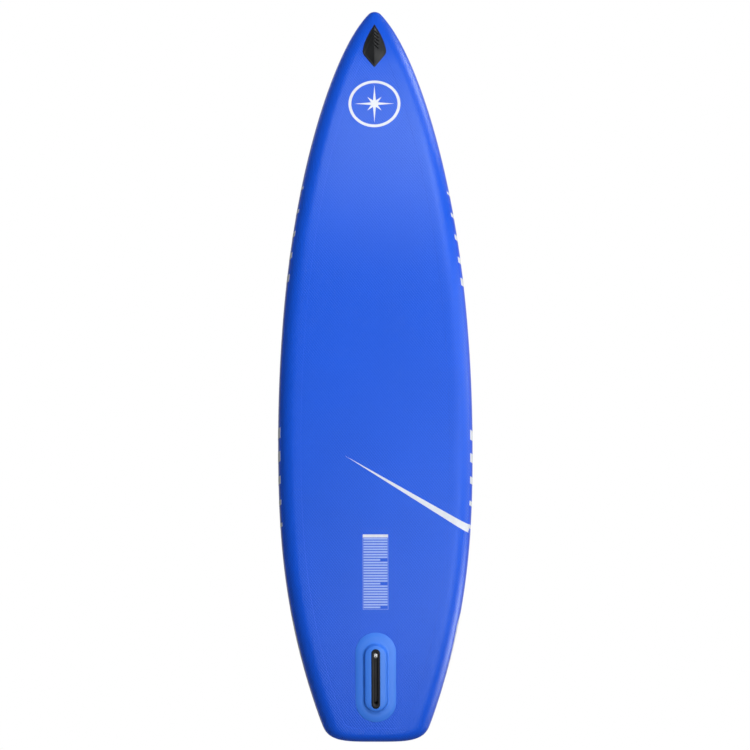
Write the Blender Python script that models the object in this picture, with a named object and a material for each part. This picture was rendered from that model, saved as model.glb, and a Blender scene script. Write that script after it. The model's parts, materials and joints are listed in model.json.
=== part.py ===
"""Inflatable touring stand up paddleboard, modelled as the separate pieces it is welded and bolted from.

The board lies flat with its deck up: +X runs to the nose, +Y to port and +Z out of the deck. The origin is
on the middle of the flat stretch of the hull. Every skin, tape and fitting is placed on one master surface:
a plan outline with a rounded rail, first laid out flat and then bent along the rocker line.
"""

import math

import bmesh
import bpy
import numpy as np
from mathutils import Matrix, Vector

# --- Board: plan outline, half of it, in metres -----------------------------------------------------------
THICKNESS = 0.150
HALF_WIDTH = 0.410
WIDE_X = -0.329
NOSE_X = 1.601
NOSE_FLARE = 0.092
SHOULDER_X = 0.868
NOSE_RADIUS = 0.040
AFT_HANDLE_X = -0.695
HIP_X, HIP_HALF = -1.080, 0.3935
TAIL_X, TAIL_HALF = -1.589, 0.204
TAIL_CLOSE = 0.092
TAIL_POWER = 4.0
RAIL_REACH = 0.075
TAIL_REACH = 0.055

# --- Board: rocker line, which ends beyond the nose and the tail, and the thinning nose -------------------
ROCKER_REACH = 1.600
NOSE_RISE, NOSE_LIFT_X, NOSE_LIFT_POWER = 0.26, 0.25, 2.4
TAIL_RISE, TAIL_LIFT_X = 0.05, -0.75
THIN_X, THIN_END_X, THIN_SHARE = 1.30, 1.60, 0.42

# --- Skins, measured outwards from the master surface -----------------------------------------------------
SKIN = 0.0010
BUTT_GAP = 0.0004
NARROWEST_PANEL = 0.004
CENTRE_GAP = 0.0003
SEAM_TAPE = (0.0003, 0.0011)
RAIL_TAPE = (0.0014, 0.0022)
TAPE_OVERLAP = 0.025
PANEL_DIP, DIP_MARGIN = 0.0002, 0.0010
CORE_FRONT_X, CORE_REAR_X, CORE_SLICES = 1.40, -1.50, 19
CORE_SHEET = (-0.0032, -0.0024)
CORE_INSET, CORE_WEB_HALF, CORE_CELLS = 0.014, 0.0008, 3
BOND_GAP = 0.0014
RAIL_ANGLES = (-90, -64, -35, -6, 22, 50, 70, 90)
HULL_TAPE_ANGLES = (-90, -64, -35)
DECK_TAPE_ANGLES = (90, 70, 50)
RAIL_TAPE_ANGLES = (-35, -6, 22, 50)

# --- Hull fittings ----------------------------------------------------------------------------------------
GUARD_REAR_X, GUARD_WIDE_X, GUARD_FRONT_X = 1.292, 1.359, 1.503
GUARD_HALF, GUARD_RIDGE, GUARD_EDGE, GUARD_BASE = 0.0515, 0.017, 0.0025, 0.0026
GUARD_FRONT_POWER, GUARD_REAR_POWER, GUARD_CREST_POWER = 1.55, 1.08, 0.7
FIN_X = -1.293
PATCH_STRAIGHT, PATCH_RADIUS = 0.106, 0.085
BOSS_STRAIGHT, BOSS_RADIUS = 0.094, 0.0525
BOX_STRAIGHT, BOX_RADIUS, BOX_HEIGHT, BOX_FLOOR = 0.108, 0.018, 0.0240, 0.0050
CHANNEL_STRAIGHT, CHANNEL_SHIFT = 0.103, 0.004
MOUTH_RADIUS, GROOVE_RADIUS = 0.0062, 0.0088
PLATE_LENGTH, PLATE_WIDTH, PLATE_THICK, PLATE_HOLE = 0.024, 0.0160, 0.0035, 0.0024
PLATE_BOTTOM, PLATE_END_ROOM = 0.0090, 0.0020
SCREW_SHANK, SCREW_HEAD, SCREW_HEAD_HEIGHT = 0.0020, 0.0048, 0.0030

# --- Deck fittings ----------------------------------------------------------------------------------------
PAD_FRONT_X, PAD_REAR_X, PAD_HALF, PAD_THICK, PAD_MARGIN = 0.46, -1.04, 0.238, 0.005, 0.034
PAD_CORNER, PAD_NOSE_SHARE = 0.16, 0.45
PAD_CORNER_ROWS = (0, 0.06, 0.2, 0.45, 1)
PAD_REAR_ROWS = (-0.42, -0.60, -0.75, -0.87, -0.97)
KICK_FRONT_X, KICK_REAR_X, KICK_HEIGHT = -1.048, -1.262, 0.024
KICK_BAR_AT, KICK_BAR_SPREAD, KICK_SIDE_SHARE = 0.72, 0.17, 0.1
WELL_X, WELL_HALF_LENGTH, WELL_HALF_WIDTH = -0.05, 0.19, 0.062
WELL_CORNER, WELL_END_SHARE = 0.03, 0.65
ANCHOR_LENGTH, ANCHOR_WIDTH, ANCHOR_THICK, ANCHOR_END_SHARE = 0.052, 0.056, 0.0013, 0.62
LOOP_HALF_WIDTH, LOOP_INNER, LOOP_OUTER, BAR_HEIGHT = 0.011, 0.0034, 0.0046, 0.0058
LOOP_FOOT_SPREAD, LOOP_STEPS = 0.003, 7
RING_HALF, RING_LEG, RING_WIRE, RING_BAR_SHARE = 0.020, 0.012, 0.0024, 0.85
RING_PLACES = {
    "seat_front_port": (0.53, 0.200, 0.0),
    "seat_front_starboard": (0.53, -0.200, 0.0),
    "seat_rear_port": (-0.48, 0.272, 180.0),
    "seat_rear_starboard": (-0.48, -0.272, 180.0),
    "leash": (-1.372, 0.0, 180.0),
    "tow": (1.215, 0.0, 0.0),
}
HANDLE_BAR, STRAP_THICK = 0.0022, 0.003
CARRY_HALF, CARRY_HEIGHT = 0.135, 0.042
GRIP_HALF = 0.054
NOSE_HANDLE_X, NOSE_HANDLE_HALF, NOSE_HANDLE_HEIGHT = 1.395, 0.060, 0.030
TAIL_HANDLE_X, TAIL_HANDLE_HALF, TAIL_HANDLE_HEIGHT = -1.462, 0.100, 0.034
BUNGEE_FRONT = (1.03, 0.118)
BUNGEE_REAR = (0.73, 0.175)
BUNGEE_RADIUS, BUNGEE_LIFT, BUNGEE_CROSS_LIFT = 0.0026, 0.0098, 0.0085
VALVE_X, VALVE_Y = -1.335, 0.118
VALVE_BORE, VALVE_COLLAR, VALVE_FLANGE, VALVE_NUT = 0.0135, 0.0200, 0.0275, 0.0285
VALVE_TOP, VALVE_FLOOR, VALVE_DEPTH = 0.0034, 0.0008, -0.0360
LEDGE_BORE, LEDGE_TOP, LEDGE_LOW = 0.0095, -0.0200, -0.0220
VALVE_LUG_X, VALVE_LUG_Z = -0.0315, 0.0062

HULL, DECK = -1, 1


# --- Master surface ---------------------------------------------------------------------------------------
def rocker(x):
    """Height of the flat-laid surface's lower side at length x, once bent."""
    nose = max(0.0, x - NOSE_LIFT_X) / (ROCKER_REACH - NOSE_LIFT_X)
    tail = max(0.0, TAIL_LIFT_X - x) / (ROCKER_REACH + TAIL_LIFT_X)
    return NOSE_RISE * nose**NOSE_LIFT_POWER + TAIL_RISE * tail**2


def bend(x, y, t):
    """The point that stands t above the rocker line at (x, y), measured square to it."""
    step = 1e-4
    slope = (rocker(x + step) - rocker(x - step)) / (2 * step)
    length = math.hypot(1.0, slope)
    return Vector((x - t * slope / length, y, rocker(x) + t / length))


def board_thickness(x):
    """Full thickness at length x: even, and thinner at the nose."""
    share = max(0.0, x - THIN_X) / (THIN_END_X - THIN_X)
    return THICKNESS * (1 - THIN_SHARE * share**2)


def bezier(a, b, c, d, t):
    """A point of the cubic curve with corners a, b, c and d."""
    corners = np.array([a, b, c, d], float)
    weights = np.array([(1 - t) ** 3, 3 * t * (1 - t) ** 2, 3 * t * t * (1 - t), t**3])
    return weights @ corners


def forward_edge(t):
    """Plan outline from the nose tip to the widest place."""
    return bezier((NOSE_X, 0), (NOSE_X, NOSE_FLARE), (SHOULDER_X, HALF_WIDTH), (WIDE_X, HALF_WIDTH), t)


def aft_edge(t):
    """Plan outline from the widest place towards the tail, before its corner is rounded."""
    return bezier((WIDE_X, HALF_WIDTH), (AFT_HANDLE_X, HALF_WIDTH), (HIP_X, HIP_HALF), (TAIL_X, TAIL_HALF), t)


def inward(curve, t):
    """Unit vector square to a plan curve, pointing into the board."""
    step = 1e-4
    along = curve(t + step) - curve(t - step)
    along /= np.linalg.norm(along)
    return np.array([-along[1], along[0]])


def tail_corner(angle):
    """Edge point P and panel point Q round the tail's corner: angle 90 is on the side, 0 on the centreline."""
    share_x = math.cos(math.radians(angle)) ** (2 / TAIL_POWER)
    share_y = math.sin(math.radians(angle)) ** (2 / TAIL_POWER)
    start = TAIL_X + TAIL_CLOSE
    t = next(k / 400 for k in range(400) if aft_edge(k / 400)[0] < start)
    side = aft_edge(t)
    lean = (side[1] - TAIL_HALF) / TAIL_CLOSE
    edge = np.array([side[0] - TAIL_CLOSE * share_x, (side[1] - lean * TAIL_CLOSE * share_x) * share_y])
    foot = side + RAIL_REACH * inward(aft_edge, t)
    depth = foot[0] - (TAIL_X + TAIL_REACH)
    panel = np.array([foot[0] - depth * share_x, (foot[1] - lean * depth * share_x) * share_y])
    return edge, panel


def make_stations(nose=3, forward=20, aft=7, corner=7):
    """Pairs (edge point P, panel point Q) along one side of the plan, from the nose to the tail's middle."""
    start = next(k / 2000 for k in range(1, 2000) if nose_reach(k / 2000) >= NOSE_RADIUS)
    first = forward_edge(start)
    centre = first + NOSE_RADIUS * inward(forward_edge, start)
    lean = math.atan2(first[1], first[0] - centre[0])
    stations = []
    for k in range(nose):
        a = lean * k / nose
        stations.append((centre + NOSE_RADIUS * np.array([math.cos(a), math.sin(a)]), centre))
    for k in range(forward):
        t = start + (1 - start) * k / forward
        reach = min(RAIL_REACH, nose_reach(t))
        stations.append((forward_edge(t), forward_edge(t) + reach * inward(forward_edge, t)))
    end = next(k / 400 for k in range(400) if aft_edge(k / 400)[0] < TAIL_X + TAIL_CLOSE)
    for k in range(aft):
        t = max(end * k / aft, 0.001)
        stations.append((aft_edge(t), aft_edge(t) + RAIL_REACH * inward(aft_edge, t)))
    stations += [tail_corner(90 - 90 * k / corner) for k in range(corner)]
    stations.append(tail_corner(0))
    return stations


def nose_reach(t):
    """Distance from the forward edge, square to it, to the centreline."""
    return forward_edge(t)[1] / max(1e-9, -inward(forward_edge, t)[1])


STATIONS = make_stations()
FINE_STATIONS = make_stations(8, 120, 20, 20)


def panel_point(x, y, side, offset):
    """A point on the hull (side -1) or deck (side 1), offset outwards."""
    return bend(x, y, THICKNESS / 2 + side * (board_thickness(x) / 2 + offset))


def rail_point(station, angle, offset, hand):
    """A point on the rounded rail: angle -90 is at the hull panel, 0 at the edge and 90 at the deck panel."""
    edge, panel = station
    reach = edge - panel
    length = np.linalg.norm(reach)
    spot = panel + reach / length * (length + offset) * math.cos(math.radians(angle))
    rise = (board_thickness(panel[0]) / 2 + offset) * math.sin(math.radians(angle))
    return bend(spot[0], hand * max(spot[1], CENTRE_GAP), THICKNESS / 2 + rise)


def inset_point(station, distance):
    """The plan point that lies a distance inside the panel's edge, stopping at the centreline."""
    edge, panel = station
    back = (panel - edge) / np.linalg.norm(panel - edge)
    room = panel[1] / max(1e-6, -back[1]) if back[1] < 0 else distance
    return panel + back * min(distance, max(0.0, room))


def hull_point(x, y, offset):
    """A point on the hull at plan place (x, y), on the panel or on the rail beside it."""
    spot = np.array([x, abs(y)])
    for near, far in zip(FINE_STATIONS, FINE_STATIONS[1:]):
        if turn(far, spot) <= 0 < turn(near, spot) or turn(far, spot) >= 0 > turn(near, spot):
            edge, panel = near
            share = np.linalg.norm(spot - panel) / (np.linalg.norm(edge - panel) + offset)
            if np.dot(spot - panel, edge - panel) > 0:
                rise = (board_thickness(panel[0]) / 2 + offset) * math.sqrt(max(0.0, 1 - share**2))
                return bend(x, y, THICKNESS / 2 - rise)
    return panel_point(x, y, HULL, offset)


def turn(station, spot):
    """Which side of a station's line from Q to P a plan point is on."""
    edge, panel = station
    reach, away = edge - panel, spot - panel
    return reach[0] * away[1] - reach[1] * away[0]


def seat(x, y, side, heading=0.0, gap=BOND_GAP):
    """Local frame on the deck or hull: Z points out of the board and X along it, turned by heading degrees."""
    step = 1e-3
    origin = panel_point(x, y, side, gap)
    ahead = (panel_point(x + step, y, side, gap) - panel_point(x - step, y, side, gap)).normalized()
    out = ahead.cross(Vector((0, 1, 0))) * side
    across = out.cross(ahead)
    frame = Matrix((ahead, across, out)).transposed().to_4x4()
    frame.translation = origin
    return frame @ Matrix.Rotation(math.radians(heading), 4, "Z")


# --- Mesh helpers -----------------------------------------------------------------------------------------
def finish_object(name, verts, faces, finish, frame=None, sharp=35.0):
    """Makes one closed, outward-facing object from points and faces."""
    mesh = bpy.data.meshes.new(name)
    mesh.from_pydata([tuple(v) for v in verts], [], faces)
    bm = bmesh.new()
    bm.from_mesh(mesh)
    bmesh.ops.remove_doubles(bm, verts=bm.verts, dist=2e-6)
    bmesh.ops.dissolve_degenerate(bm, dist=1e-6, edges=bm.edges)
    bmesh.ops.recalc_face_normals(bm, faces=bm.faces)
    bm.to_mesh(mesh)
    bm.free()
    mesh.materials.append(finish)
    mesh.shade_smooth()
    mesh.set_sharp_from_angle(angle=math.radians(sharp))
    made = bpy.data.objects.new(name, mesh)
    if frame is not None:
        made.matrix_world = frame
    bpy.context.scene.collection.objects.link(made)
    return made


def border(faces):
    """Edges that belong to one face only, each in that face's direction."""
    edges = {}
    for face in faces:
        for pair in zip(face, face[1:] + face[:1]):
            if edges.pop(pair[::-1], None) is None:
                edges[pair] = True
    return list(edges)


def slab(outer, inner, skip=(), mirrored=()):
    """Points and faces of a thick sheet between two grids of points. Cells in skip are left open.

    Each cell is split along the diagonal from (i, j) to (i + 1, j + 1), or the other one in a mirrored column,
    so that layers laid on each other bend along the same lines.
    """
    rows, columns = len(outer), len(outer[0])
    verts = [p for row in outer for p in row] + [p for row in inner for p in row]
    lower = rows * columns
    loops = []
    for i in range(rows - 1):
        for j in range(columns - 1):
            if (i, j) in skip:
                continue
            loop = [i * columns + j, (i + 1) * columns + j, (i + 1) * columns + j + 1, i * columns + j + 1]
            loops.append(loop[1:] + loop[:1] if j in mirrored else loop)
    halves = [part for loop in loops for part in (loop[:3], [loop[0], *loop[2:]])]
    faces = halves + [[k + lower for k in reversed(part)] for part in halves]
    faces += [[b, a, a + lower, b + lower] for a, b in border(loops)]
    return verts, faces


def stack(rings, closed=False):
    """Points and faces of a solid made of rings of equal count: capped at both ends, or closed into a loop."""
    count = len(rings[0])
    verts = [p for ring in rings for p in ring]
    faces = []
    for k in range(len(rings) if closed else len(rings) - 1):
        here, there = k * count, (k + 1) % len(rings) * count
        for i in range(count):
            j = (i + 1) % count
            faces.append([here + i, here + j, there + j, there + i])
    if not closed:
        faces.append(list(range(count))[::-1])
        faces.append(list(range((len(rings) - 1) * count, len(rings) * count)))
    return verts, faces


def circle(radius, z, count=20, centre=(0.0, 0.0)):
    """A level ring of points."""
    angles = [2 * math.pi * k / count for k in range(count)]
    return [Vector((centre[0] + radius * math.cos(a), centre[1] + radius * math.sin(a), z)) for a in angles]


def capsule(straight, radius, z, arc=7, runs=4):
    """A level ring of two half circles joined by straight sides along X."""
    points = []
    for end in (1, -1):
        for k in range(arc + 1):
            a = math.pi * (k / arc - 0.5)
            points.append(Vector((end * (straight + radius * math.cos(a)), end * radius * math.sin(a), z)))
        for k in range(1, runs):
            points.append(Vector((end * straight * (1 - 2 * k / runs), end * radius, z)))
    return points


def turned(name, profile, finish, frame, count=20, closed=False):
    """A piece of revolution about its frame's Z, from (radius, z) pairs."""
    verts, faces = stack([circle(r, z, count) for r, z in profile], closed)
    return finish_object(name, verts, faces, finish, frame)


def sweep(path, sections, closed=False, up=Vector((0, 0, 1))):
    """Rings along a path. Each section is a list of (sideways, upwards) offsets."""
    rings = []
    for k, spot in enumerate(path):
        before = path[k - 1] if closed or k else path[0]
        after = path[(k + 1) % len(path)] if closed or k + 1 < len(path) else path[-1]
        along = (after - before).normalized()
        side = along.cross(up).normalized()
        lift = side.cross(along)
        rings.append([spot + side * a + lift * b for a, b in sections[k]])
    return stack(rings, closed)


def round_section(radius, count=6):
    """Section of a round wire."""
    angles = [2 * math.pi * (k + 0.5) / count for k in range(count)]
    return [(radius * math.cos(a), radius * math.sin(a)) for a in angles]


def strap_section(width, thick):
    """Section of flat webbing with eased edges."""
    w, t, ease = width / 2, thick / 2, min(width, thick) * 0.3
    return [(w, ease - t), (w, t - ease), (w - ease, t), (ease - w, t),
            (-w, t - ease), (-w, ease - t), (ease - w, -t), (w - ease, -t)]


def rounded_path(points, radius, steps=3):
    """A closed path whose corners are eased by short curves."""
    path = []
    for k, corner in enumerate(points):
        back = (points[k - 1] - corner).normalized()
        ahead = (points[(k + 1) % len(points)] - corner).normalized()
        for s in range(steps + 1):
            u = s / steps
            path.append(corner + back * radius * (1 - u) ** 2 + ahead * radius * u**2)
    return path


# --- Materials --------------------------------------------------------------------------------------------
def paint(name, colour, roughness, metallic=0.0):
    """A Principled finish."""
    made = bpy.data.materials.new(name)
    made.use_nodes = True
    shader = made.node_tree.nodes["Principled BSDF"]
    shader.inputs["Base Color"].default_value = (*colour, 1.0)
    shader.inputs["Roughness"].default_value = roughness
    shader.inputs["Metallic"].default_value = metallic
    return made


def make_finishes():
    """Every finish, by material slot."""
    return {
        "hull_pvc": paint("hull_pvc", (0.03, 0.11, 0.70), 0.45),
        "deck_pvc": paint("deck_pvc", (0.80, 0.81, 0.82), 0.5),
        "rail_pvc": paint("rail_pvc", (0.03, 0.12, 0.72), 0.4),
        "seam_pvc": paint("seam_pvc", (0.03, 0.11, 0.68), 0.4),
        "drop_stitch": paint("drop_stitch", (0.85, 0.84, 0.78), 0.9),
        "black_rubber": paint("black_rubber", (0.015, 0.015, 0.017), 0.6),
        "fin_patch_pvc": paint("fin_patch_pvc", (0.06, 0.20, 0.80), 0.4),
        "black_plastic": paint("black_plastic", (0.012, 0.012, 0.014), 0.35),
        "stainless": paint("stainless", (0.75, 0.76, 0.78), 0.22, 1.0),
        "eva_foam": paint("eva_foam", (0.10, 0.12, 0.15), 0.85),
        "anchor_pvc": paint("anchor_pvc", (0.03, 0.11, 0.64), 0.45),
        "webbing": paint("webbing", (0.02, 0.02, 0.022), 0.8),
        "neoprene": paint("neoprene", (0.025, 0.025, 0.028), 0.9),
        "bungee_cover": paint("bungee_cover", (0.03, 0.03, 0.035), 0.8),
        "valve_plastic": paint("valve_plastic", (0.06, 0.06, 0.065), 0.4),
    }


# --- Inflated shell ---------------------------------------------------------------------------------------
def panel_rows(side, offset):
    """Rows of points across the flat panel, nose to tail, whose edges dip a little under the seam tapes."""
    rows = []
    for station in STATIONS:
        edge, lap = inset_point(station, BUTT_GAP), inset_point(station, TAPE_OVERLAP + DIP_MARGIN)
        if edge[1] > NARROWEST_PANEL:
            middle = max(lap[1], CENTRE_GAP)
            across = [(edge[0], -edge[1], PANEL_DIP), (lap[0], -middle, 0.0), (lap[0], middle, 0.0),
                      (edge[0], edge[1], PANEL_DIP)]
            rows.append([panel_point(x, y, side, offset - dip) for x, y, dip in across])
    return rows


def add_panel(name, side, finish):
    """The hull's or the deck's flat skin."""
    return finish_object(name, *slab(panel_rows(side, 0.0), panel_rows(side, -SKIN), mirrored=(0,)), finish)


def add_side_wall(name, hand, finish):
    """One side's rounded wall, from the hull panel round to the deck panel."""
    outer, inner = ([[rail_point(s, a, d, hand) for a in RAIL_ANGLES] for s in STATIONS] for d in (0, -SKIN))
    return finish_object(name, *slab(outer, inner, mirrored=upper_columns(RAIL_ANGLES)), finish)


def upper_columns(angles):
    """Columns of a rail grid that lie above the rail's edge."""
    return [j for j, (low, high) in enumerate(zip(angles, angles[1:])) if low + high > 0]


def add_seam_tape(name, side, hand, finish):
    """A tape that laps from the flat panel onto the side wall."""
    angles = HULL_TAPE_ANGLES if side == HULL else DECK_TAPE_ANGLES

    def layer(offset):
        rows = []
        for station in STATIONS:
            x, y = inset_point(station, TAPE_OVERLAP)
            start = panel_point(x, hand * max(y, CENTRE_GAP), side, offset)
            rows.append([start] + [rail_point(station, a, offset, hand) for a in angles])
        return rows

    return finish_object(name, *slab(layer(SEAM_TAPE[1]), layer(SEAM_TAPE[0])), finish)


def add_rail_tape(name, hand, finish):
    """The broad outer band round one rail."""
    outer, inner = (
        [[rail_point(s, a, d, hand) for a in RAIL_TAPE_ANGLES] for s in STATIONS] for d in RAIL_TAPE[::-1]
    )
    return finish_object(name, *slab(outer, inner, mirrored=upper_columns(RAIL_TAPE_ANGLES)), finish)


def panel_half_width(x):
    """Half the flat panel's width at length x."""
    along = [s[1] for s in FINE_STATIONS]
    for fore, aft in zip(along, along[1:]):
        if aft[0] <= x <= fore[0] and fore[0] > aft[0]:
            share = (fore[0] - x) / (fore[0] - aft[0])
            return fore[1] + share * (aft[1] - fore[1])
    return 0.0


def core_section(x):
    """The core's cross-section at length x: four layers, hull to deck, of points from starboard to port."""
    half = panel_half_width(x) - CORE_INSET
    cell = 2 * half / CORE_CELLS
    columns = [-half]
    for k in range(CORE_CELLS):
        columns += [k * cell - half + 2 * CORE_WEB_HALF, (k + 1) * cell - half - 2 * CORE_WEB_HALF]
    columns.append(half)
    inner, outer = CORE_SHEET
    layers = ((HULL, outer), (HULL, inner), (DECK, inner), (DECK, outer))
    return [panel_point(x, y, side, offset) for side, offset in layers for y in columns]


def add_core(finish):
    """Drop-stitch core: the two woven sheets, held apart by rows of thread drawn as thin webs."""
    places = np.linspace(CORE_FRONT_X, CORE_REAR_X, CORE_SLICES)
    verts = [p for x in places for p in core_section(x)]
    columns = 2 * CORE_CELLS + 2
    size = 4 * columns
    filled = []
    for layer in range(3):
        for j in range(columns - 1):
            between_webs = layer == 1 and j % 2 == 1
            if not between_webs:
                a = layer * columns + j
                filled.append([a, a + 1, a + columns + 1, a + columns])
    edges = border(filled)
    last = (CORE_SLICES - 1) * size
    faces = filled + [[k + last for k in reversed(loop)] for loop in filled]
    for k in range(CORE_SLICES - 1):
        faces += [[b + k * size, a + k * size, a + (k + 1) * size, b + (k + 1) * size] for a, b in edges]
    return finish_object("drop_stitch_core", verts, faces, finish)


def cut_valve_hole(target, radius, frame):
    """Opens a round hole for the valve in a skin."""
    verts, faces = stack([circle(radius, -0.05, 28), circle(radius, 0.02, 28)])
    cutter = finish_object(target.name + "_hole", verts, faces, target.data.materials[0], frame)
    cutter.hide_render = True
    cutter.display_type = "WIRE"
    cut = target.modifiers.new("valve_hole", "BOOLEAN")
    cut.operation = "DIFFERENCE"
    cut.object = cutter


# --- Hull fittings ----------------------------------------------------------------------------------------
def guard_half_width(x):
    """Half-width of the nose guard's leaf outline: a curved front flank and a nearly straight rear one."""
    if x >= GUARD_WIDE_X:
        share = (x - GUARD_WIDE_X) / (GUARD_FRONT_X - GUARD_WIDE_X)
        return GUARD_HALF * (1 - share**GUARD_FRONT_POWER)
    share = (GUARD_WIDE_X - x) / (GUARD_WIDE_X - GUARD_REAR_X)
    return GUARD_HALF * (1 - share**GUARD_REAR_POWER)


def add_nose_guard(finish):
    """The moulded keel-shaped bumper under the nose, with a ridge down its middle."""
    rear = np.linspace(GUARD_REAR_X, GUARD_WIDE_X, 5)
    front = GUARD_WIDE_X + (GUARD_FRONT_X - GUARD_WIDE_X) * np.linspace(0, 1, 8)[1:]
    across = (-1, -0.7, -0.35, -0.08, 0.08, 0.35, 0.7, 1)
    top, base = [], []
    for x in [*rear, *front]:
        half = guard_half_width(x)
        along = (x - GUARD_REAR_X) / (GUARD_FRONT_X - GUARD_REAR_X)
        ridge = GUARD_EDGE + (GUARD_RIDGE - GUARD_EDGE) * math.sin(math.pi * along) ** GUARD_CREST_POWER
        heights = [GUARD_EDGE + (ridge - GUARD_EDGE) * (1 - abs(c)) for c in across]
        top.append([hull_point(x, half * c, GUARD_BASE + h) for c, h in zip(across, heights)])
        base.append([hull_point(x, half * c, GUARD_BASE) for c in across])
    return finish_object("nose_guard", *slab(top, base), finish)


def add_fin_patch(finish):
    """The moulded patch welded to the hull: a thin flange with a steep-sided boss round the fin box."""
    rings = (
        (BOX_STRAIGHT, BOX_RADIUS + 0.0010, 0.0004),
        (PATCH_STRAIGHT, PATCH_RADIUS, 0.0004),
        (PATCH_STRAIGHT, PATCH_RADIUS - 0.001, 0.0018),
        (BOSS_STRAIGHT, BOSS_RADIUS, 0.0024),
        (BOSS_STRAIGHT, BOSS_RADIUS - 0.0075, 0.0180),
        (BOSS_STRAIGHT, BOSS_RADIUS - 0.0125, 0.0205),
        (BOX_STRAIGHT, BOX_RADIUS + 0.0010, 0.0225),
    )
    placed = []
    for straight, radius, height in rings:
        ring = capsule(straight, radius, height)
        placed.append([panel_point(FIN_X + p.x, p.y, HULL, p.z) for p in ring])
    return finish_object("fin_patch", *stack(placed, closed=True), finish)


def add_fin_box(finish, frame):
    """The hard fin box: a block with an undercut channel that a fin and its square nut slide along."""
    deep, shelf, lip = BOX_FLOOR, 0.0155, BOX_HEIGHT - 0.002
    shift = Vector((CHANNEL_SHIFT, 0, 0))
    channel = [
        (GROOVE_RADIUS, deep),
        (GROOVE_RADIUS, shelf),
        (MOUTH_RADIUS, shelf),
        (MOUTH_RADIUS, lip),
        (MOUTH_RADIUS + 0.0025, BOX_HEIGHT),
    ]
    rings = [[p + shift for p in capsule(CHANNEL_STRAIGHT, r, z, 5)] for r, z in channel]
    outside = [(BOX_RADIUS - 0.001, BOX_HEIGHT), (BOX_RADIUS, BOX_HEIGHT - 0.001), (BOX_RADIUS, 0.0)]
    rings += [capsule(BOX_STRAIGHT, r, z, 5) for r, z in outside]
    return finish_object("fin_box", *stack(rings), finish, frame)


def add_fin_plate(finish, frame):
    """The square nut in the channel, with a round hole for the screw."""
    count = 16
    hole = circle(PLATE_HOLE, 0.0, count)
    rim = []
    for p in hole:
        reach = max(abs(p.x) / (PLATE_LENGTH / 2), abs(p.y) / (PLATE_WIDTH / 2))
        rim.append(Vector((p.x / reach, p.y / reach, 0.0)))
    rise = Vector((0, 0, PLATE_THICK))
    rings = [hole, rim, [p + rise for p in rim], [p + rise for p in hole]]
    return finish_object("fin_plate", *stack(rings, closed=True), finish, frame)


def add_fin_screw(finish, frame):
    """The fin screw, standing in the square nut with its head in the channel's mouth."""
    top = PLATE_THICK + 0.0012
    profile = [
        (SCREW_SHANK * 0.7, -0.0028),
        (SCREW_SHANK, -0.0022),
        (SCREW_SHANK, top),
        (SCREW_HEAD, top),
        (SCREW_HEAD, top + SCREW_HEAD_HEIGHT * 0.6),
        (SCREW_HEAD * 0.7, top + SCREW_HEAD_HEIGHT),
    ]
    return turned("fin_screw", profile, finish, frame, 16)


def add_hull_fittings(finishes):
    """Nose guard and fin box group."""
    add_nose_guard(finishes["black_rubber"])
    add_fin_patch(finishes["fin_patch_pvc"])
    box_frame = seat(FIN_X, 0.0, HULL, gap=0.0004)
    add_fin_box(finishes["black_plastic"], box_frame)
    nut_x = CHANNEL_SHIFT + CHANNEL_STRAIGHT - PLATE_LENGTH / 2 + PLATE_END_ROOM
    nut_frame = box_frame @ Matrix.Translation((nut_x, 0, PLATE_BOTTOM))
    add_fin_plate(finishes["stainless"], nut_frame)
    add_fin_screw(finishes["stainless"], nut_frame)


# --- Deck pads --------------------------------------------------------------------------------------------
def pad_half_width(x):
    """Half-width of the traction pad: follows the deck, with rounded front corners."""
    half = min(PAD_HALF, panel_half_width(x) - PAD_MARGIN)
    if x > PAD_FRONT_X - PAD_CORNER:
        share = (x - PAD_FRONT_X + PAD_CORNER) / PAD_CORNER
        half *= PAD_NOSE_SHARE + (1 - PAD_NOSE_SHARE) * math.sqrt(max(0.0, 1 - share**2))
    return half


def add_deck_pad(finish):
    """The foam traction pad, with an open well round the carry handle."""
    rear, front = WELL_X - WELL_HALF_LENGTH, WELL_X + WELL_HALF_LENGTH
    places = [PAD_FRONT_X - PAD_CORNER * share for share in PAD_CORNER_ROWS]
    places += [(places[-1] + front) / 2, front, front - WELL_CORNER, rear + WELL_CORNER, rear]
    places += [*PAD_REAR_ROWS, PAD_REAR_X]
    skip, rows = set(), []
    for i, x in enumerate(places):
        half = pad_half_width(x)
        middle = min(half, WELL_HALF_WIDTH * (1.0 if rear < x < front else WELL_END_SHARE))
        rows.append([(x, y) for y in (-half, -middle, middle, half)])
        if rear < x <= front:
            skip.add((i, 1))
    top, base = (
        [[panel_point(x, y, DECK, d) for x, y in row] for row in rows] for d in (BOND_GAP + PAD_THICK, BOND_GAP)
    )
    return finish_object("deck_pad", *slab(top, base, skip), finish)


def add_kick_pad(finish):
    """The tail pad, with a raised bar across its rear for the back foot."""
    places = np.linspace(KICK_FRONT_X, KICK_REAR_X, 9)
    across = (-1, -0.9, -0.5, 0, 0.5, 0.9, 1)
    top, base = [], []
    for x in places:
        half = pad_half_width(x)
        along = (KICK_FRONT_X - x) / (KICK_FRONT_X - KICK_REAR_X)
        bar = KICK_HEIGHT * math.exp(-(((along - KICK_BAR_AT) / KICK_BAR_SPREAD) ** 2))
        lift = [BOND_GAP + PAD_THICK + bar * min(1.0, (1 - abs(c)) / KICK_SIDE_SHARE) for c in across]
        top.append([panel_point(x, half * c, DECK, d) for c, d in zip(across, lift)])
        base.append([panel_point(x, half * c, DECK, BOND_GAP) for c in across])
    return finish_object("kick_pad", *slab(top, base), finish)


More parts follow.
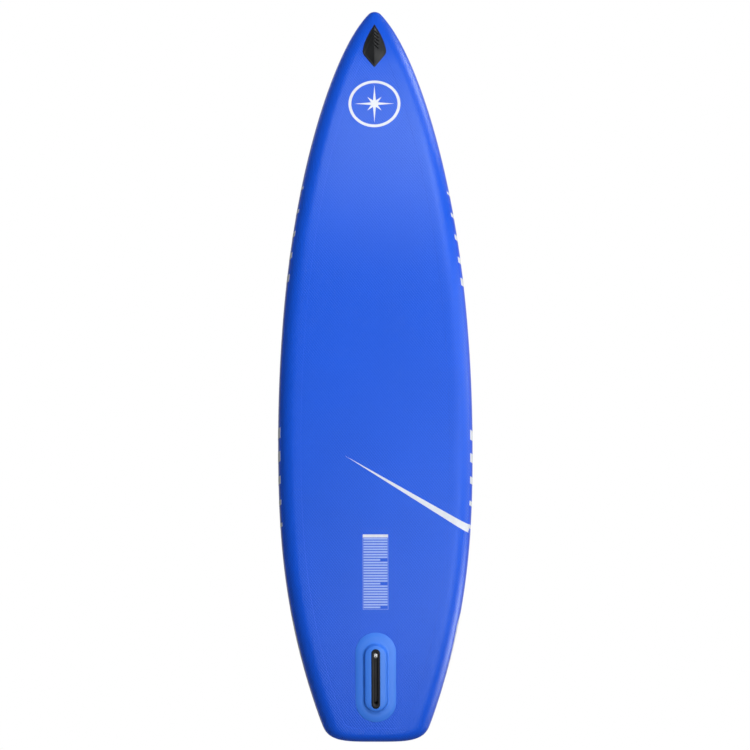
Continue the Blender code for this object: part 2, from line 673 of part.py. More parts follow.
# --- Anchors, rings and handles ---------------------------------------------------------------------------
def anchor_mesh():
    """A bonded patch with a webbing loop sewn on it. The loop's tunnel runs along local Y."""
    near, far = LOOP_INNER + LOOP_FOOT_SPREAD, LOOP_OUTER + LOOP_FOOT_SPREAD
    xs = (-ANCHOR_LENGTH / 2, -far, -near, near, far, ANCHOR_LENGTH / 2)
    ys = (-ANCHOR_WIDTH / 2, -LOOP_HALF_WIDTH, LOOP_HALF_WIDTH, ANCHOR_WIDTH / 2)
    verts = []
    for z in (ANCHOR_THICK, 0.0):
        for x in xs:
            shares = [ANCHOR_END_SHARE if abs(x) == xs[-1] and abs(y) == ys[-1] else 1.0 for y in ys]
            verts += [Vector((x, y * share, z)) for y, share in zip(ys, shares)]
    count, lower = len(ys), len(xs) * len(ys)
    cells = {}
    for i in range(len(xs) - 1):
        for j in range(count - 1):
            cells[i, j] = [i * count + j, (i + 1) * count + j, (i + 1) * count + j + 1, i * count + j + 1]
    left_foot, right_foot = cells[1, 1], cells[3, 1]
    faces = [cell for cell in cells.values() if cell not in (left_foot, right_foot)]
    faces += [[k + lower for k in reversed(cell)] for cell in cells.values()]
    faces += [[b, a, a + lower, b + lower] for a, b in border(cells.values())]
    rings = [[left_foot[k] for k in (0, 3, 2, 1)]]
    for k in range(LOOP_STEPS + 1):
        a = math.pi * (1 - k / LOOP_STEPS)
        rings.append(list(range(len(verts), len(verts) + 4)))
        for radius, end in ((LOOP_OUTER, -1), (LOOP_OUTER, 1), (LOOP_INNER, 1), (LOOP_INNER, -1)):
            x, z = radius * math.cos(a), BAR_HEIGHT + radius * math.sin(a)
            verts.append(Vector((x, end * LOOP_HALF_WIDTH, z)))
    rings.append([right_foot[k] for k in (1, 2, 3, 0)])
    for here, there in zip(rings, rings[1:]):
        faces += [[here[i - 1], here[i], there[i], there[i - 1]] for i in range(4)]
    return verts, faces


def add_anchor(name, frame, finish):
    """One bonded anchor."""
    return finish_object(name, *anchor_mesh(), finish, frame)


def add_ring(name, frame, finish):
    """A D-ring. Its straight bar lies in the anchor's loop and its frame is on the bar's axis."""
    bar = RING_HALF * RING_BAR_SHARE
    path = [Vector((0, y, 0)) for y in np.linspace(-bar, bar, 4)]
    for a in np.radians(np.linspace(90, -90, 11)):
        path.append(Vector((RING_LEG + RING_HALF * math.cos(a), RING_HALF * math.sin(a), 0)))
    section = round_section(RING_WIRE)
    verts, faces = sweep(path, [section] * len(path), closed=True)
    return finish_object(name, verts, faces, finish, frame)


def add_strap(name, half, height, width, frame, finish):
    """A webbing handle. Its ends are rolled into bars that lie in the anchors' loops along local X."""
    mouth = half - LOOP_HALF_WIDTH
    shape = [
        (half + LOOP_HALF_WIDTH + 0.002, 0.0, 2 * HANDLE_BAR),
        (mouth - 0.001, 0.0, 2 * HANDLE_BAR),
        (mouth - 0.007, 0.10, 0.007),
        (mouth - 0.013, 0.42, 0.35 * width),
        (mouth - 0.022, 0.80, 0.8 * width),
        (mouth * 0.55, 1.0, width),
        (0.0, 1.0, width),
    ]
    mirrored = [(-x, rise, wide) for x, rise, wide in shape[-2::-1]]
    path, sections = [], []
    for x, rise, wide in shape + mirrored:
        path.append(Vector((x, 0, height * rise)))
        sections.append(strap_section(wide, STRAP_THICK if rise else 2 * HANDLE_BAR))
    verts, faces = sweep(path, sections)
    return finish_object(name, verts, faces, finish, frame)


def add_grip(frame, finish):
    """The padded sleeve round the carry handle's middle."""
    count = 14
    outside = ((GRIP_HALF, 0.010, 0.006), (GRIP_HALF - 0.002, 0.016, 0.011), (0.0, 0.0175, 0.0125))
    bore = (0.0132, 0.0034)

    def ring(x, a, b):
        angles = [2 * math.pi * k / count for k in range(count)]
        return [Vector((x, a * math.cos(t), CARRY_HEIGHT + b * math.sin(t))) for t in angles]

    shape = [(-x, a, b) for x, a, b in outside] + [outside[1], outside[0]]
    shape += [(GRIP_HALF, *bore), (-GRIP_HALF, *bore)]
    return finish_object("carry_grip", *stack([ring(*s) for s in shape], closed=True), finish, frame)


def handle_frame(front, rear):
    """Frame on the line between two anchors' tunnels, with X along it."""
    a, b = (anchor @ Vector((0, 0, BAR_HEIGHT)) for anchor in (front, rear))
    along = (a - b).normalized()
    out = front.to_3x3().col[2] + rear.to_3x3().col[2]
    across = out.cross(along).normalized()
    frame = Matrix((along, across, along.cross(across))).transposed().to_4x4()
    frame.translation = (a + b) / 2
    return frame


def add_handles(finishes):
    """Carry, nose and tail handles with their anchors."""
    patch, webbing = finishes["anchor_pvc"], finishes["webbing"]
    places = {
        "carry": (((WELL_X + CARRY_HALF, 0), (WELL_X - CARRY_HALF, 0)), 90, CARRY_HALF, CARRY_HEIGHT, 0.022),
        "nose": (((NOSE_HANDLE_X + NOSE_HANDLE_HALF, 0), (NOSE_HANDLE_X - NOSE_HANDLE_HALF, 0)), 90,
                 NOSE_HANDLE_HALF, NOSE_HANDLE_HEIGHT, 0.024),
        "tail": (((TAIL_HANDLE_X, TAIL_HANDLE_HALF), (TAIL_HANDLE_X, -TAIL_HANDLE_HALF)), 0,
                 TAIL_HANDLE_HALF, TAIL_HANDLE_HEIGHT, 0.028),
    }
    for label, (spots, heading, half, height, width) in places.items():
        frames = [seat(x, y, DECK, heading) for x, y in spots]
        for end, frame in zip(("a", "b"), frames):
            add_anchor(f"{label}_anchor_{end}", frame, patch)
        grip_frame = handle_frame(*frames)
        add_strap(f"{label}_strap", half, height, width, grip_frame, webbing)
        if label == "carry":
            add_grip(grip_frame, finishes["neoprene"])


def add_rings(finishes):
    """Seat, leash and tow rings with their anchors."""
    for label, (x, y, heading) in RING_PLACES.items():
        frame = seat(x, y, DECK, heading)
        add_anchor(f"{label}_anchor", frame, finishes["anchor_pvc"])
        add_ring(f"{label}_ring", frame @ Matrix.Translation((0, 0, BAR_HEIGHT)), finishes["stainless"])


# --- Bungee -----------------------------------------------------------------------------------------------
def add_bungee(finishes):
    """The crossed deck cord, laced through four anchors."""
    fx, fy = BUNGEE_FRONT
    rx, ry = BUNGEE_REAR
    corners = [(fx, fy), (fx, -fy), (rx, ry), (rx, -ry)]
    names = ("front_port", "front_starboard", "rear_port", "rear_starboard")
    mouth = LOOP_HALF_WIDTH + 0.006
    cross_x = fx - (fx - rx) * fy / (fy + ry)
    points = []
    for k, (x, y) in enumerate(corners):
        before, after = Vector(corners[k - 1]), Vector(corners[(k + 1) % 4])
        here = Vector((x, y))
        along = ((after - here).normalized() - (before - here).normalized()).normalized()
        heading = math.degrees(math.atan2(along.y, along.x)) - 90
        frame = seat(x, y, DECK, heading)
        add_anchor(f"bungee_anchor_{names[k]}", frame, finishes["anchor_pvc"])
        points.append(frame @ Vector((0, -mouth, BAR_HEIGHT)))
        points.append(frame @ Vector((0, mouth, BAR_HEIGHT)))
        if k in (1, 3):
            lift = BUNGEE_LIFT + (BUNGEE_CROSS_LIFT if k == 1 else 0.0)
            points.append(panel_point(cross_x, 0.0, DECK, BOND_GAP + lift))
    path = rounded_path(points, 0.006)
    verts, faces = sweep(path, [round_section(BUNGEE_RADIUS)] * len(path), closed=True)
    finish_object("bungee_cord", verts, faces, finishes["bungee_cover"])


# --- Valve ------------------------------------------------------------------------------------------------
def add_valve(finishes, frame):
    """The one-way inflation valve: body, nut and gasket in the deck, sprung stem inside and a cap on top."""
    plastic, rubber, steel = finishes["valve_plastic"], finishes["black_rubber"], finishes["stainless"]
    body = [
        (VALVE_BORE, VALVE_TOP - 0.0004), (0.0216, VALVE_TOP - 0.0004), (0.0220, VALVE_TOP),
        (VALVE_FLANGE - 0.002, VALVE_TOP), (VALVE_FLANGE, 0.0022), (VALVE_FLANGE, VALVE_FLOOR),
        (VALVE_COLLAR, VALVE_FLOOR), (VALVE_COLLAR, VALVE_DEPTH), (VALVE_BORE, VALVE_DEPTH),
        (VALVE_BORE, LEDGE_LOW), (LEDGE_BORE, LEDGE_LOW), (LEDGE_BORE, LEDGE_TOP), (VALVE_BORE, LEDGE_TOP),
    ]
    turned("valve_body", body, plastic, frame, 24, closed=True)
    turned("valve_gasket", [(0.0206, 0.0004), (0.0262, 0.0004), (0.0262, -0.0006), (0.0206, -0.0006)],
           rubber, frame, 24, closed=True)
    turned("valve_nut", [(0.0203, -0.0080), (VALVE_NUT, -0.0080), (VALVE_NUT, -0.0034), (0.0203, -0.0034)],
           plastic, frame, 24, closed=True)
    stem = [
        (0.0100, -0.0256), (0.0124, -0.0250), (0.0124, -0.0224), (0.0030, -0.0224), (0.0030, -0.0052),
    ]
    turned("valve_stem", stem, plastic, frame, 14)
    button = [
        (0.0034, -0.0066), (0.0122, -0.0066), (0.0122, -0.0036), (0.0070, -0.0036), (0.0064, -0.0014),
        (0.0020, -0.0014), (0.0020, -0.0046), (0.0034, -0.0046),
    ]
    turned("valve_button", button, rubber, frame, 16, closed=True)
    add_spring(steel, frame)
    lug = frame @ Matrix.Translation((VALVE_LUG_X, 0, VALVE_LUG_Z))
    add_cap(plastic, rubber, frame)
    add_tether(rubber, lug)


def add_spring(finish, frame):
    """The stem's return spring, standing on the body's inner ledge."""
    radius, wire, low, high, turns, steps = 0.0110, 0.0005, LEDGE_TOP + 0.0008, -0.0074, 4, 12
    path = []
    for k in range(turns * steps + 1):
        a = 2 * math.pi * k / steps
        rise = low + (high - low) * k / (turns * steps)
        path.append(Vector((radius * math.cos(a), radius * math.sin(a), rise)))
    verts, faces = sweep(path, [round_section(wire, 5)] * len(path))
    finish_object("valve_spring", verts, faces, finish, frame)


def add_cap(plastic, rubber, frame):
    """The valve cap, with a plug below, a finger bar on top and a seal ring under its rim."""
    cap = [
        (0.0060, 0.0016), (0.0106, 0.0016), (0.0112, 0.0050), (0.0180, 0.0050), (0.0180, 0.0076),
        (0.0160, 0.0094), (0.0075, 0.0094), (0.0065, 0.0130), (0.0040, 0.0134),
    ]
    turned("valve_cap", cap, plastic, frame, 24)
    turned("valve_cap_seal", [(0.0115, 0.0038), (0.0150, 0.0038), (0.0150, 0.0047), (0.0115, 0.0047)],
           rubber, frame, 24, closed=True)


def add_tether(finish, lug):
    """The rubber leash: a ring round the cap and a strap to the hinge beside the flange."""
    inner, outer, low, high, count = 0.0184, 0.0214, -0.0010, 0.0010, 24
    centre = (-VALVE_LUG_X, 0.0)
    hinge_half = 0.0055
    rings = []
    for radius, z in ((inner, low), (outer, low), (outer, high), (inner, high)):
        ring = circle(radius, z, count, centre)
        if radius == outer:
            for k in (count // 2 - 1, count // 2, count // 2 + 1):
                ring[k] = Vector((-0.0015, (count // 2 - k) * hinge_half, z))
        rings.append(ring)
    finish_object("valve_tether", *stack(rings, closed=True), finish, lug)


# --- Assembly ---------------------------------------------------------------------------------------------
def clear_scene():
    """Removes whatever the scene starts with."""
    for old in list(bpy.data.objects):
        bpy.data.objects.remove(old, do_unlink=True)


def main():
    clear_scene()
    finishes = make_finishes()
    valve_frame = seat(VALVE_X, VALVE_Y, DECK, gap=BOND_GAP)
    add_panel("hull_panel", HULL, finishes["hull_pvc"])
    deck = add_panel("deck_panel", DECK, finishes["deck_pvc"])
    cut_valve_hole(deck, VALVE_COLLAR + 0.0008, valve_frame)
    for label, hand in (("port", 1), ("starboard", -1)):
        add_side_wall(f"side_wall_{label}", hand, finishes["rail_pvc"])
        add_seam_tape(f"hull_seam_tape_{label}", HULL, hand, finishes["seam_pvc"])
        add_seam_tape(f"deck_seam_tape_{label}", DECK, hand, finishes["deck_pvc"])
        add_rail_tape(f"rail_tape_{label}", hand, finishes["rail_pvc"])
    core = add_core(finishes["drop_stitch"])
    cut_valve_hole(core, VALVE_NUT + 0.0025, valve_frame)
    add_hull_fittings(finishes)
    add_deck_pad(finishes["eva_foam"])
    add_kick_pad(finishes["eva_foam"])
    add_handles(finishes)
    add_rings(finishes)
    add_bungee(finishes)
    add_valve(finishes, valve_frame)


main()
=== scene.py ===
"""The looks of an inflatable touring paddleboard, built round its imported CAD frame.

+X runs to the nose, +Y to port and +Z out of the deck. The skins, tapes, prints and fittings are laid on
the same surface as the CAD model: a plan outline with a rounded rail, laid out flat and then bent along
the rocker.
"""

import json
import math

import bmesh
import bpy
import numpy as np
from mathutils import Matrix, Vector


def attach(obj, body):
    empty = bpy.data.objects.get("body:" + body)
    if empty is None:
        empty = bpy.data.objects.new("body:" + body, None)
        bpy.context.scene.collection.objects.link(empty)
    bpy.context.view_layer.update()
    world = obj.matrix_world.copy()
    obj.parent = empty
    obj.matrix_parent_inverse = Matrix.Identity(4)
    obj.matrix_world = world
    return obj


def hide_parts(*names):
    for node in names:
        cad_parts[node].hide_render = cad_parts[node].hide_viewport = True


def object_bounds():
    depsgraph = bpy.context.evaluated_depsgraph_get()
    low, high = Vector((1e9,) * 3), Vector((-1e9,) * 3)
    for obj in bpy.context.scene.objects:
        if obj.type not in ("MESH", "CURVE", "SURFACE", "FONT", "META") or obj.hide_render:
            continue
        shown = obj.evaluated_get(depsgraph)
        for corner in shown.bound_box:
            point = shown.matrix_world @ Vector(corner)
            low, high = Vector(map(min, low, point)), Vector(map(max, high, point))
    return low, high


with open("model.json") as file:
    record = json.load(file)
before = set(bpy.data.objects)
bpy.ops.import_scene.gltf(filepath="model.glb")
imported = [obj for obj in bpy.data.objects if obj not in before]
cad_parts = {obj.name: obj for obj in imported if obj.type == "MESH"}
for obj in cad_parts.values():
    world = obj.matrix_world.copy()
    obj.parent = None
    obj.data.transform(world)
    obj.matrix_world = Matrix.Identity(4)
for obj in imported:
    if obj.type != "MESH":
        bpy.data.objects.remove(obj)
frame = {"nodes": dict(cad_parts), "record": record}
cad_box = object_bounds()

# --- Board surface, in metres ---
THICKNESS = 0.150
HALF_WIDTH = 0.410
WIDE_X = -0.329
NOSE_X, NOSE_FLARE, NOSE_RADIUS = 1.601, 0.092, 0.040
SHOULDER_X = 0.868
AFT_HANDLE_X = -0.695
HIP_X, HIP_HALF = -1.080, 0.3935
TAIL_X, TAIL_HALF = -1.589, 0.204
TAIL_CLOSE, TAIL_POWER = 0.092, 4.0
RAIL_REACH, TAIL_REACH = 0.075, 0.055
ROCKER_REACH = 1.600
NOSE_RISE, NOSE_LIFT_X, NOSE_LIFT_POWER = 0.26, 0.25, 2.4
TAIL_RISE, TAIL_LIFT_X = 0.05, -0.75
THIN_X, THIN_END_X, THIN_SHARE = 1.30, 1.60, 0.42

# --- Layers, measured outwards from that surface ---
SKIN = 0.0010
SEAM_TOP, RAIL_TOP = 0.0008, 0.0015
TAPE_OVERLAP = 0.025
LOWER_EDGE, UPPER_EDGE = -35.0, 50.0
PRINT_FILM = 0.00030
BOND_GAP, MOULD_GAP = 0.0014, 0.0004
PRINT_BASE, LAYER_BASE = 0.00005, 0.0001
HULL, DECK = -1, 1
HANDS = (("port", 1), ("starboard", -1))

# --- Prints ---
EMBLEM_X, EMBLEM_RADII, EMBLEM_STROKE = 1.126, (0.1045, 0.1102), 0.0120
STAR_RADII = (0.084, 0.043, 0.0155)
STRIPE_TIP, STRIPE_FORE, STRIPE_AFT = (-0.3615, -0.127), (-0.6558, 0.395), (-0.6900, 0.392)
RAIL_BARS = {
    "starboard": ((0.767, 0.012), (0.667, 0.017), (0.569, 0.023), (0.476, 0.025), (0.380, 0.032),
                  (-0.272, 0.044), (-0.371, 0.044), (-0.470, 0.033), (-0.565, 0.022), (-0.659, 0.016)),
    "port": ((0.742, 0.012), (0.647, 0.017), (0.552, 0.023), (0.455, 0.025), (0.362, 0.032),
             (-0.283, 0.042), (-0.379, 0.038), (-0.473, 0.030), (-0.570, 0.020), (-0.667, 0.016)),
}
BAR_SLANT, BAR_CLEAR, BAR_TOP = 0.014, 1.2, 34
TAIL_BAND = (-0.965, -1.500)
PANEL_FRONT_X, PANEL_REAR_X, PANEL_HALF, PANEL_ROWS = -0.691, -1.005, 0.053, 27

# --- Fittings ---
GUARD_REAR_X, GUARD_WIDE_X, GUARD_FRONT_X = 1.292, 1.359, 1.503
GUARD_HALF, GUARD_RIDGE, GUARD_EDGE, GUARD_BASE = 0.0515, 0.0170, 0.0025, 0.0026
FIN_X, PATCH_STRAIGHT, PATCH_RADIUS = -1.293, 0.106, 0.085
BOSS_STRAIGHT, BOSS_RADIUS, BOSS_WALL = 0.094, 0.0525, 0.0095
BOX_STRAIGHT, BOX_RADIUS, BOX_HEIGHT, BOX_FLOOR = 0.108, 0.018, 0.0240, 0.0050
CHANNEL_STRAIGHT, CHANNEL_SHIFT, MOUTH_RADIUS, GROOVE_RADIUS = 0.103, 0.004, 0.0062, 0.0088
NUT_SHIFT, NUT_FLOOR, NUT_THICK = 0.097, 0.0090, 0.0035
PAD_FRONT_X, PAD_REAR_X, PAD_HALF, PAD_THICK, PAD_CORNER = 0.46, -1.04, 0.238, 0.005, 0.16
KICK_FRONT_X, KICK_REAR_X, KICK_HEIGHT = -1.048, -1.262, 0.024
WELL_X, WELL_HALF_LENGTH, WELL_HALF_WIDTH = -0.05, 0.19, 0.062
ANCHOR_RADIUS, ANCHOR_THICK = 0.0272, 0.0013
LOOP_WIDTH, LOOP_RADIUS, LOOP_THICK, BAR_HEIGHT = 0.022, 0.0040, 0.0012, 0.0058
RING_HALF, RING_LEG, RING_WIRE = 0.020, 0.012, 0.0024
RING_PLACES = {
    "seat_front_port": (0.53, 0.200, 0.0),
    "seat_front_starboard": (0.53, -0.200, 0.0),
    "seat_rear_port": (-0.48, 0.272, 180.0),
    "seat_rear_starboard": (-0.48, -0.272, 180.0),
    "leash": (-1.372, 0.0, 180.0),
    "tow": (1.215, 0.0, 0.0),
}
CARRY_HALF, CARRY_HEIGHT = 0.135, 0.042
HANDLES = {
    "carry": (((WELL_X + CARRY_HALF, 0), (WELL_X - CARRY_HALF, 0)), 90, CARRY_HALF, CARRY_HEIGHT, 0.022),
    "nose": (((1.455, 0), (1.335, 0)), 90, 0.060, 0.030, 0.024),
    "tail": (((-1.462, 0.100), (-1.462, -0.100)), 0, 0.100, 0.034, 0.028),
}
STRAP_BAR, STRAP_THICK, STRAP_ROLLED = 0.0022, 0.0030, 1.7
BUNGEE_FRONT, BUNGEE_REAR, BUNGEE_RADIUS = (1.03, 0.118), (0.73, 0.175), 0.0026
BUNGEE_LIFT, BUNGEE_CROSS_LIFT = 0.0098, 0.0085
VALVE_X, VALVE_Y, VALVE_LUG_X, VALVE_LUG_Z = -1.335, 0.118, -0.0315, 0.0062
VALVE_BORE, VALVE_COLLAR, VALVE_FLANGE = 0.0135, 0.0200, 0.0275

# --- Studio ---
VIEW_DISTANCE = 5.5
CAMERA_TARGET, CAMERA_TILT, CAMERA_ROLL, CAMERA_LENS = (-0.0256, -0.0003, 0.05), -0.44, -0.15, 62.68
FLOOR_DROP, FLOOR_FADE, FLOOR_GLOW = 0.002, (1.75, 3.3), 0.45
WORLD_GLOW = 0.11
LIGHTS = (  # name, place, watts, width and height, seen as a sheen, lights the colour
    ("upper_box", (1.6, 3.8, -1.0), 320, (4.6, 3.2), True, True),
    ("lower_box", (1.7, -1.9, -1.0), 138, (4.4, 2.2), True, True),
    ("side_box", (4.8, 0.3, -4.9), 118, (1.8, 7.0), True, True),
    ("upper_strip", (2.3, 3.1, -6.3), 44, (1.4, 1.4), True, False),
    ("lower_strip", (2.7, -2.0, -6.0), 46, (1.4, 1.4), True, False),
    ("fill_box", (-2.5, 0.8, -0.5), 28, (2.0, 2.0), False, True),
    ("tail_box", (1.5, -1.5, -1.0), 14, (1.6, 1.6), True, False),
    ("back_box", (0.0, 0.0, -8.5), 110, (7.0, 7.0), True, False),
)


# --- Surface ---
def rocker(x):
    """Height of the flat-laid surface's lower side at length x, once bent."""
    nose = np.clip(x - NOSE_LIFT_X, 0, None) / (ROCKER_REACH - NOSE_LIFT_X)
    tail = np.clip(TAIL_LIFT_X - x, 0, None) / (ROCKER_REACH + TAIL_LIFT_X)
    return NOSE_RISE * nose**NOSE_LIFT_POWER + TAIL_RISE * tail**2


def bend(x, y, t):
    """Points that stand t above the rocker line at (x, y), measured square to it."""
    x, y, t = np.broadcast_arrays(x, y, t)
    step = 1e-4
    slope = (rocker(x + step) - rocker(x - step)) / (2 * step)
    length = np.hypot(1.0, slope)
    return np.stack([x - t * slope / length, y, rocker(x) + t / length], -1)


def board_thickness(x):
    """Full thickness at length x: even, and thinner at the nose."""
    share = np.clip((x - THIN_X) / (THIN_END_X - THIN_X), 0, None)
    return THICKNESS * (1 - THIN_SHARE * share**2)


def cubic(corners, t):
    """Points of a cubic curve with four corners."""
    t = np.asarray(t, float)[..., None]
    a, b, c, d = (np.array(corner, float) for corner in corners)
    return (1 - t) ** 3 * a + 3 * t * (1 - t) ** 2 * b + 3 * t * t * (1 - t) * c + t**3 * d


def forward_edge(t):
    """Plan outline from the nose tip to the widest place."""
    return cubic(((NOSE_X, 0), (NOSE_X, NOSE_FLARE), (SHOULDER_X, HALF_WIDTH), (WIDE_X, HALF_WIDTH)), t)


def aft_edge(t):
    """Plan outline from the widest place towards the tail, before its corner is rounded."""
    corners = ((WIDE_X, HALF_WIDTH), (AFT_HANDLE_X, HALF_WIDTH), (HIP_X, HIP_HALF), (TAIL_X, TAIL_HALF))
    return cubic(corners, t)


def inward(curve, t):
    """Unit vectors square to a plan curve, pointing into the board."""
    step = 1e-4
    along = curve(t + step) - curve(t - step)
    along /= np.linalg.norm(along, axis=-1, keepdims=True)
    return np.stack([-along[..., 1], along[..., 0]], -1)


def nose_reach(t):
    """Distance from the forward edge, square to it, to the centreline."""
    return forward_edge(t)[..., 1] / np.maximum(1e-9, -inward(forward_edge, t)[..., 1])


def tail_corner(angles, t):
    """Edge and panel points round the tail's corner: angle 90 is on the side, 0 on the centreline."""
    share_x = np.clip(np.cos(np.radians(angles)), 0, 1) ** (2 / TAIL_POWER)
    share_y = np.clip(np.sin(np.radians(angles)), 0, 1) ** (2 / TAIL_POWER)
    side = aft_edge(t)
    lean = (side[1] - TAIL_HALF) / TAIL_CLOSE
    foot = side + RAIL_REACH * inward(aft_edge, t)
    depth = foot[0] - (TAIL_X + TAIL_REACH)
    edge = np.stack([side[0] - TAIL_CLOSE * share_x, (side[1] - lean * TAIL_CLOSE * share_x) * share_y], -1)
    panel = np.stack([foot[0] - depth * share_x, (foot[1] - lean * depth * share_x) * share_y], -1)
    return edge, panel


def make_stations(nose=10, forward=170, aft=60, corner=30):
    """Edge points and panel points along one side of the plan, from the nose to the tail's middle."""
    fine = np.linspace(0, 1, 2001)[1:]
    start = fine[np.argmax(nose_reach(fine) >= NOSE_RADIUS)]
    first = forward_edge(start)
    centre = first + NOSE_RADIUS * inward(forward_edge, start)
    arc = np.linspace(0, math.atan2(first[1], first[0] - centre[0]), nose, endpoint=False)
    nose_edge = centre + NOSE_RADIUS * np.stack([np.cos(arc), np.sin(arc)], -1)
    nose_panel = np.repeat(centre[None], nose, 0)
    t = np.linspace(start, 1, forward, endpoint=False)
    side_edge = forward_edge(t)
    side_panel = side_edge + np.minimum(RAIL_REACH, nose_reach(t))[:, None] * inward(forward_edge, t)
    coarse = np.arange(400) / 400
    end = coarse[np.argmax(aft_edge(coarse)[:, 0] < TAIL_X + TAIL_CLOSE)]
    t = np.linspace(0.001, end, aft, endpoint=False)
    aft_side = aft_edge(t)
    aft_panel = aft_side + RAIL_REACH * inward(aft_edge, t)
    tail_edge, tail_panel = tail_corner(np.linspace(90, 0, corner), end)
    edge = np.concatenate([nose_edge, side_edge, aft_side, tail_edge])
    panel = np.concatenate([nose_panel, side_panel, aft_panel, tail_panel])
    return edge, np.maximum(panel, (-9, 0))


EDGE, PANEL = make_stations()


def panel_points(x, y, side, offset):
    """Points on the hull (side -1) or deck (side 1), offset outwards."""
    return bend(x, y, THICKNESS / 2 + side * (board_thickness(x) / 2 + offset))


def rail_points(edge, panel, angles, offset, hand):
    """Points on the rounded rail: angle -90 is at the hull panel, 0 at the edge and 90 at the deck panel."""
    reach = edge - panel
    length = np.linalg.norm(reach, axis=-1)
    out = (length + offset) / length * np.cos(np.radians(angles))
    spot = panel + reach * out[..., None]
    rise = (board_thickness(panel[..., 0]) / 2 + offset) * np.sin(np.radians(angles))
    return bend(spot[..., 0], hand * np.maximum(spot[..., 1], 0.0), THICKNESS / 2 + rise)


def rail_grid(angles, offset, hand):
    """The rail's points at every station and the given angles."""
    return rail_points(EDGE[:, None], PANEL[:, None], np.array(angles)[None], offset, hand)


def rail_at(x, angles, offset, hand):
    """Rail points at plan length x of the edge."""
    edge = np.stack([x, np.interp(-x, -EDGE[:, 0], EDGE[:, 1])], -1)
    panel = np.stack([np.interp(-x, -EDGE[:, 0], PANEL[:, k]) for k in (0, 1)], -1)
    return rail_points(edge, panel, angles, offset, hand)


def inset_points(distance):
    """Plan points that lie a distance inside the panel's edge, stopping at the centreline."""
    back = PANEL - EDGE
    back /= np.linalg.norm(back, axis=-1, keepdims=True)
    room = np.where(back[:, 1] < 0, PANEL[:, 1] / np.maximum(1e-6, -back[:, 1]), distance)
    return PANEL + back * np.clip(room, 0, distance)[:, None]


def rail_lookup(x, y):
    """For plan places: the panel point's x, the rail's reach and the distance outside the panel."""
    spots = np.stack([x, np.abs(y)], -1)[..., None, :]
    reach = EDGE - PANEL
    away = spots - PANEL
    side = reach[:, 0] * away[..., 1] - reach[:, 1] * away[..., 0]
    near, far = side[..., :-1], side[..., 1:]
    share = np.clip(near / np.where(near == far, 1, near - far), 0, 1)[..., None]
    foot = PANEL[:-1] + share * (PANEL[1:] - PANEL[:-1])
    out = reach[:-1] + share * (reach[1:] - reach[:-1])
    length = np.linalg.norm(out, axis=-1)
    depth = ((spots - foot) * out).sum(-1) / length
    close = np.where((near * far <= 0) & (depth > -0.2), np.abs(depth), 9.0)
    best = close.argmin(-1)[..., None]
    pick = [np.take_along_axis(a, best, -1)[..., 0] for a in (foot[..., 0], length, depth)]
    pick[2] = np.where(close.min(-1) < 9.0, pick[2], -9.0)
    return pick


def hull_points(x, y, lift):
    """Points that stand lift above the hull's outermost layer at plan places (x, y)."""
    foot_x, length, depth = rail_lookup(x, y)
    on_band = depth > length * math.cos(math.radians(LOWER_EDGE))
    layer = np.where(on_band, RAIL_TOP, np.where(depth > -TAPE_OVERLAP, SEAM_TOP, 0.0))
    offset = layer + lift
    share = np.clip(depth / (length + offset), 0, 1)
    rise = (board_thickness(np.where(depth > 0, foot_x, x)) / 2 + offset) * np.sqrt(1 - share**2)
    return bend(x, y, THICKNESS / 2 - rise)


def seat(x, y, side, heading=0.0, gap=BOND_GAP):
    """Local frame on the deck or hull: Z out of the board, X along it, turned by heading degrees."""
    step = 1e-3
    fore, aft = (Vector(panel_points(x + d, y, side, gap)) for d in (step, -step))
    ahead = (fore - aft).normalized()
    out = ahead.cross(Vector((0, 1, 0))) * side
    made = Matrix((ahead, out.cross(ahead), out)).transposed().to_4x4()
    made.translation = Vector(panel_points(x, y, side, gap))
    return made @ Matrix.Rotation(math.radians(heading), 4, "Z")


# --- Shapes ---
class Shape:
    """Points, faces, each point's place along and across its cloth, and each face's finish number."""

    def __init__(self, verts, faces, cloth=None, finish=0):
        self.verts = [Vector(v) for v in verts]
        self.faces = [list(f) for f in faces]
        self.cloth = list(cloth) if cloth is not None else [(v[0], v[1]) for v in self.verts]
        self.finish = [finish] * len(self.faces) if isinstance(finish, int) else list(finish)

    def at(self, place):
        """The same shape, moved by a matrix."""
        return Shape([place @ v for v in self.verts], self.faces, self.cloth, self.finish)

    def __add__(self, other):
        start = len(self.verts)
        faces = self.faces + [[k + start for k in face] for face in other.faces]
        return Shape(self.verts + other.verts, faces, self.cloth + other.cloth, self.finish + other.finish)


def slab(outer, inner):
    """A thick sheet between two grids of points."""
    outer, inner = np.asarray(outer), np.asarray(inner)
    rows, columns = outer.shape[:2]
    lower = rows * columns
    verts = np.concatenate([outer.reshape(-1, 3), inner.reshape(-1, 3)])
    index = np.arange(lower).reshape(rows, columns)
    top = np.stack([index[:-1, :-1], index[1:, :-1], index[1:, 1:], index[:-1, 1:]], -1).reshape(-1, 4)
    rim = np.concatenate([index[:, 0], index[-1, 1:], index[-2::-1, -1], index[0, -2:0:-1]])
    after = np.roll(rim, -1)
    sides = np.stack([after, rim, rim + lower, after + lower], -1)
    return Shape(verts, np.concatenate([top, top[:, ::-1] + lower, sides]).tolist())


def stack(rings, closed=False, cloth=None):
    """A solid made of rings of equal count: capped at both ends, or closed into a loop."""
    count = len(rings[0])
    verts = [p for ring in rings for p in ring]
    faces = []
    for k in range(len(rings) if closed else len(rings) - 1):
        here, there = k * count, (k + 1) % len(rings) * count
        for i in range(count):
            j = (i + 1) % count
            faces.append([here + i, here + j, there + j, there + i])
    if not closed:
        faces.append(list(range(count))[::-1])
        faces.append(list(range((len(rings) - 1) * count, len(rings) * count)))
    return Shape(verts, faces, cloth)


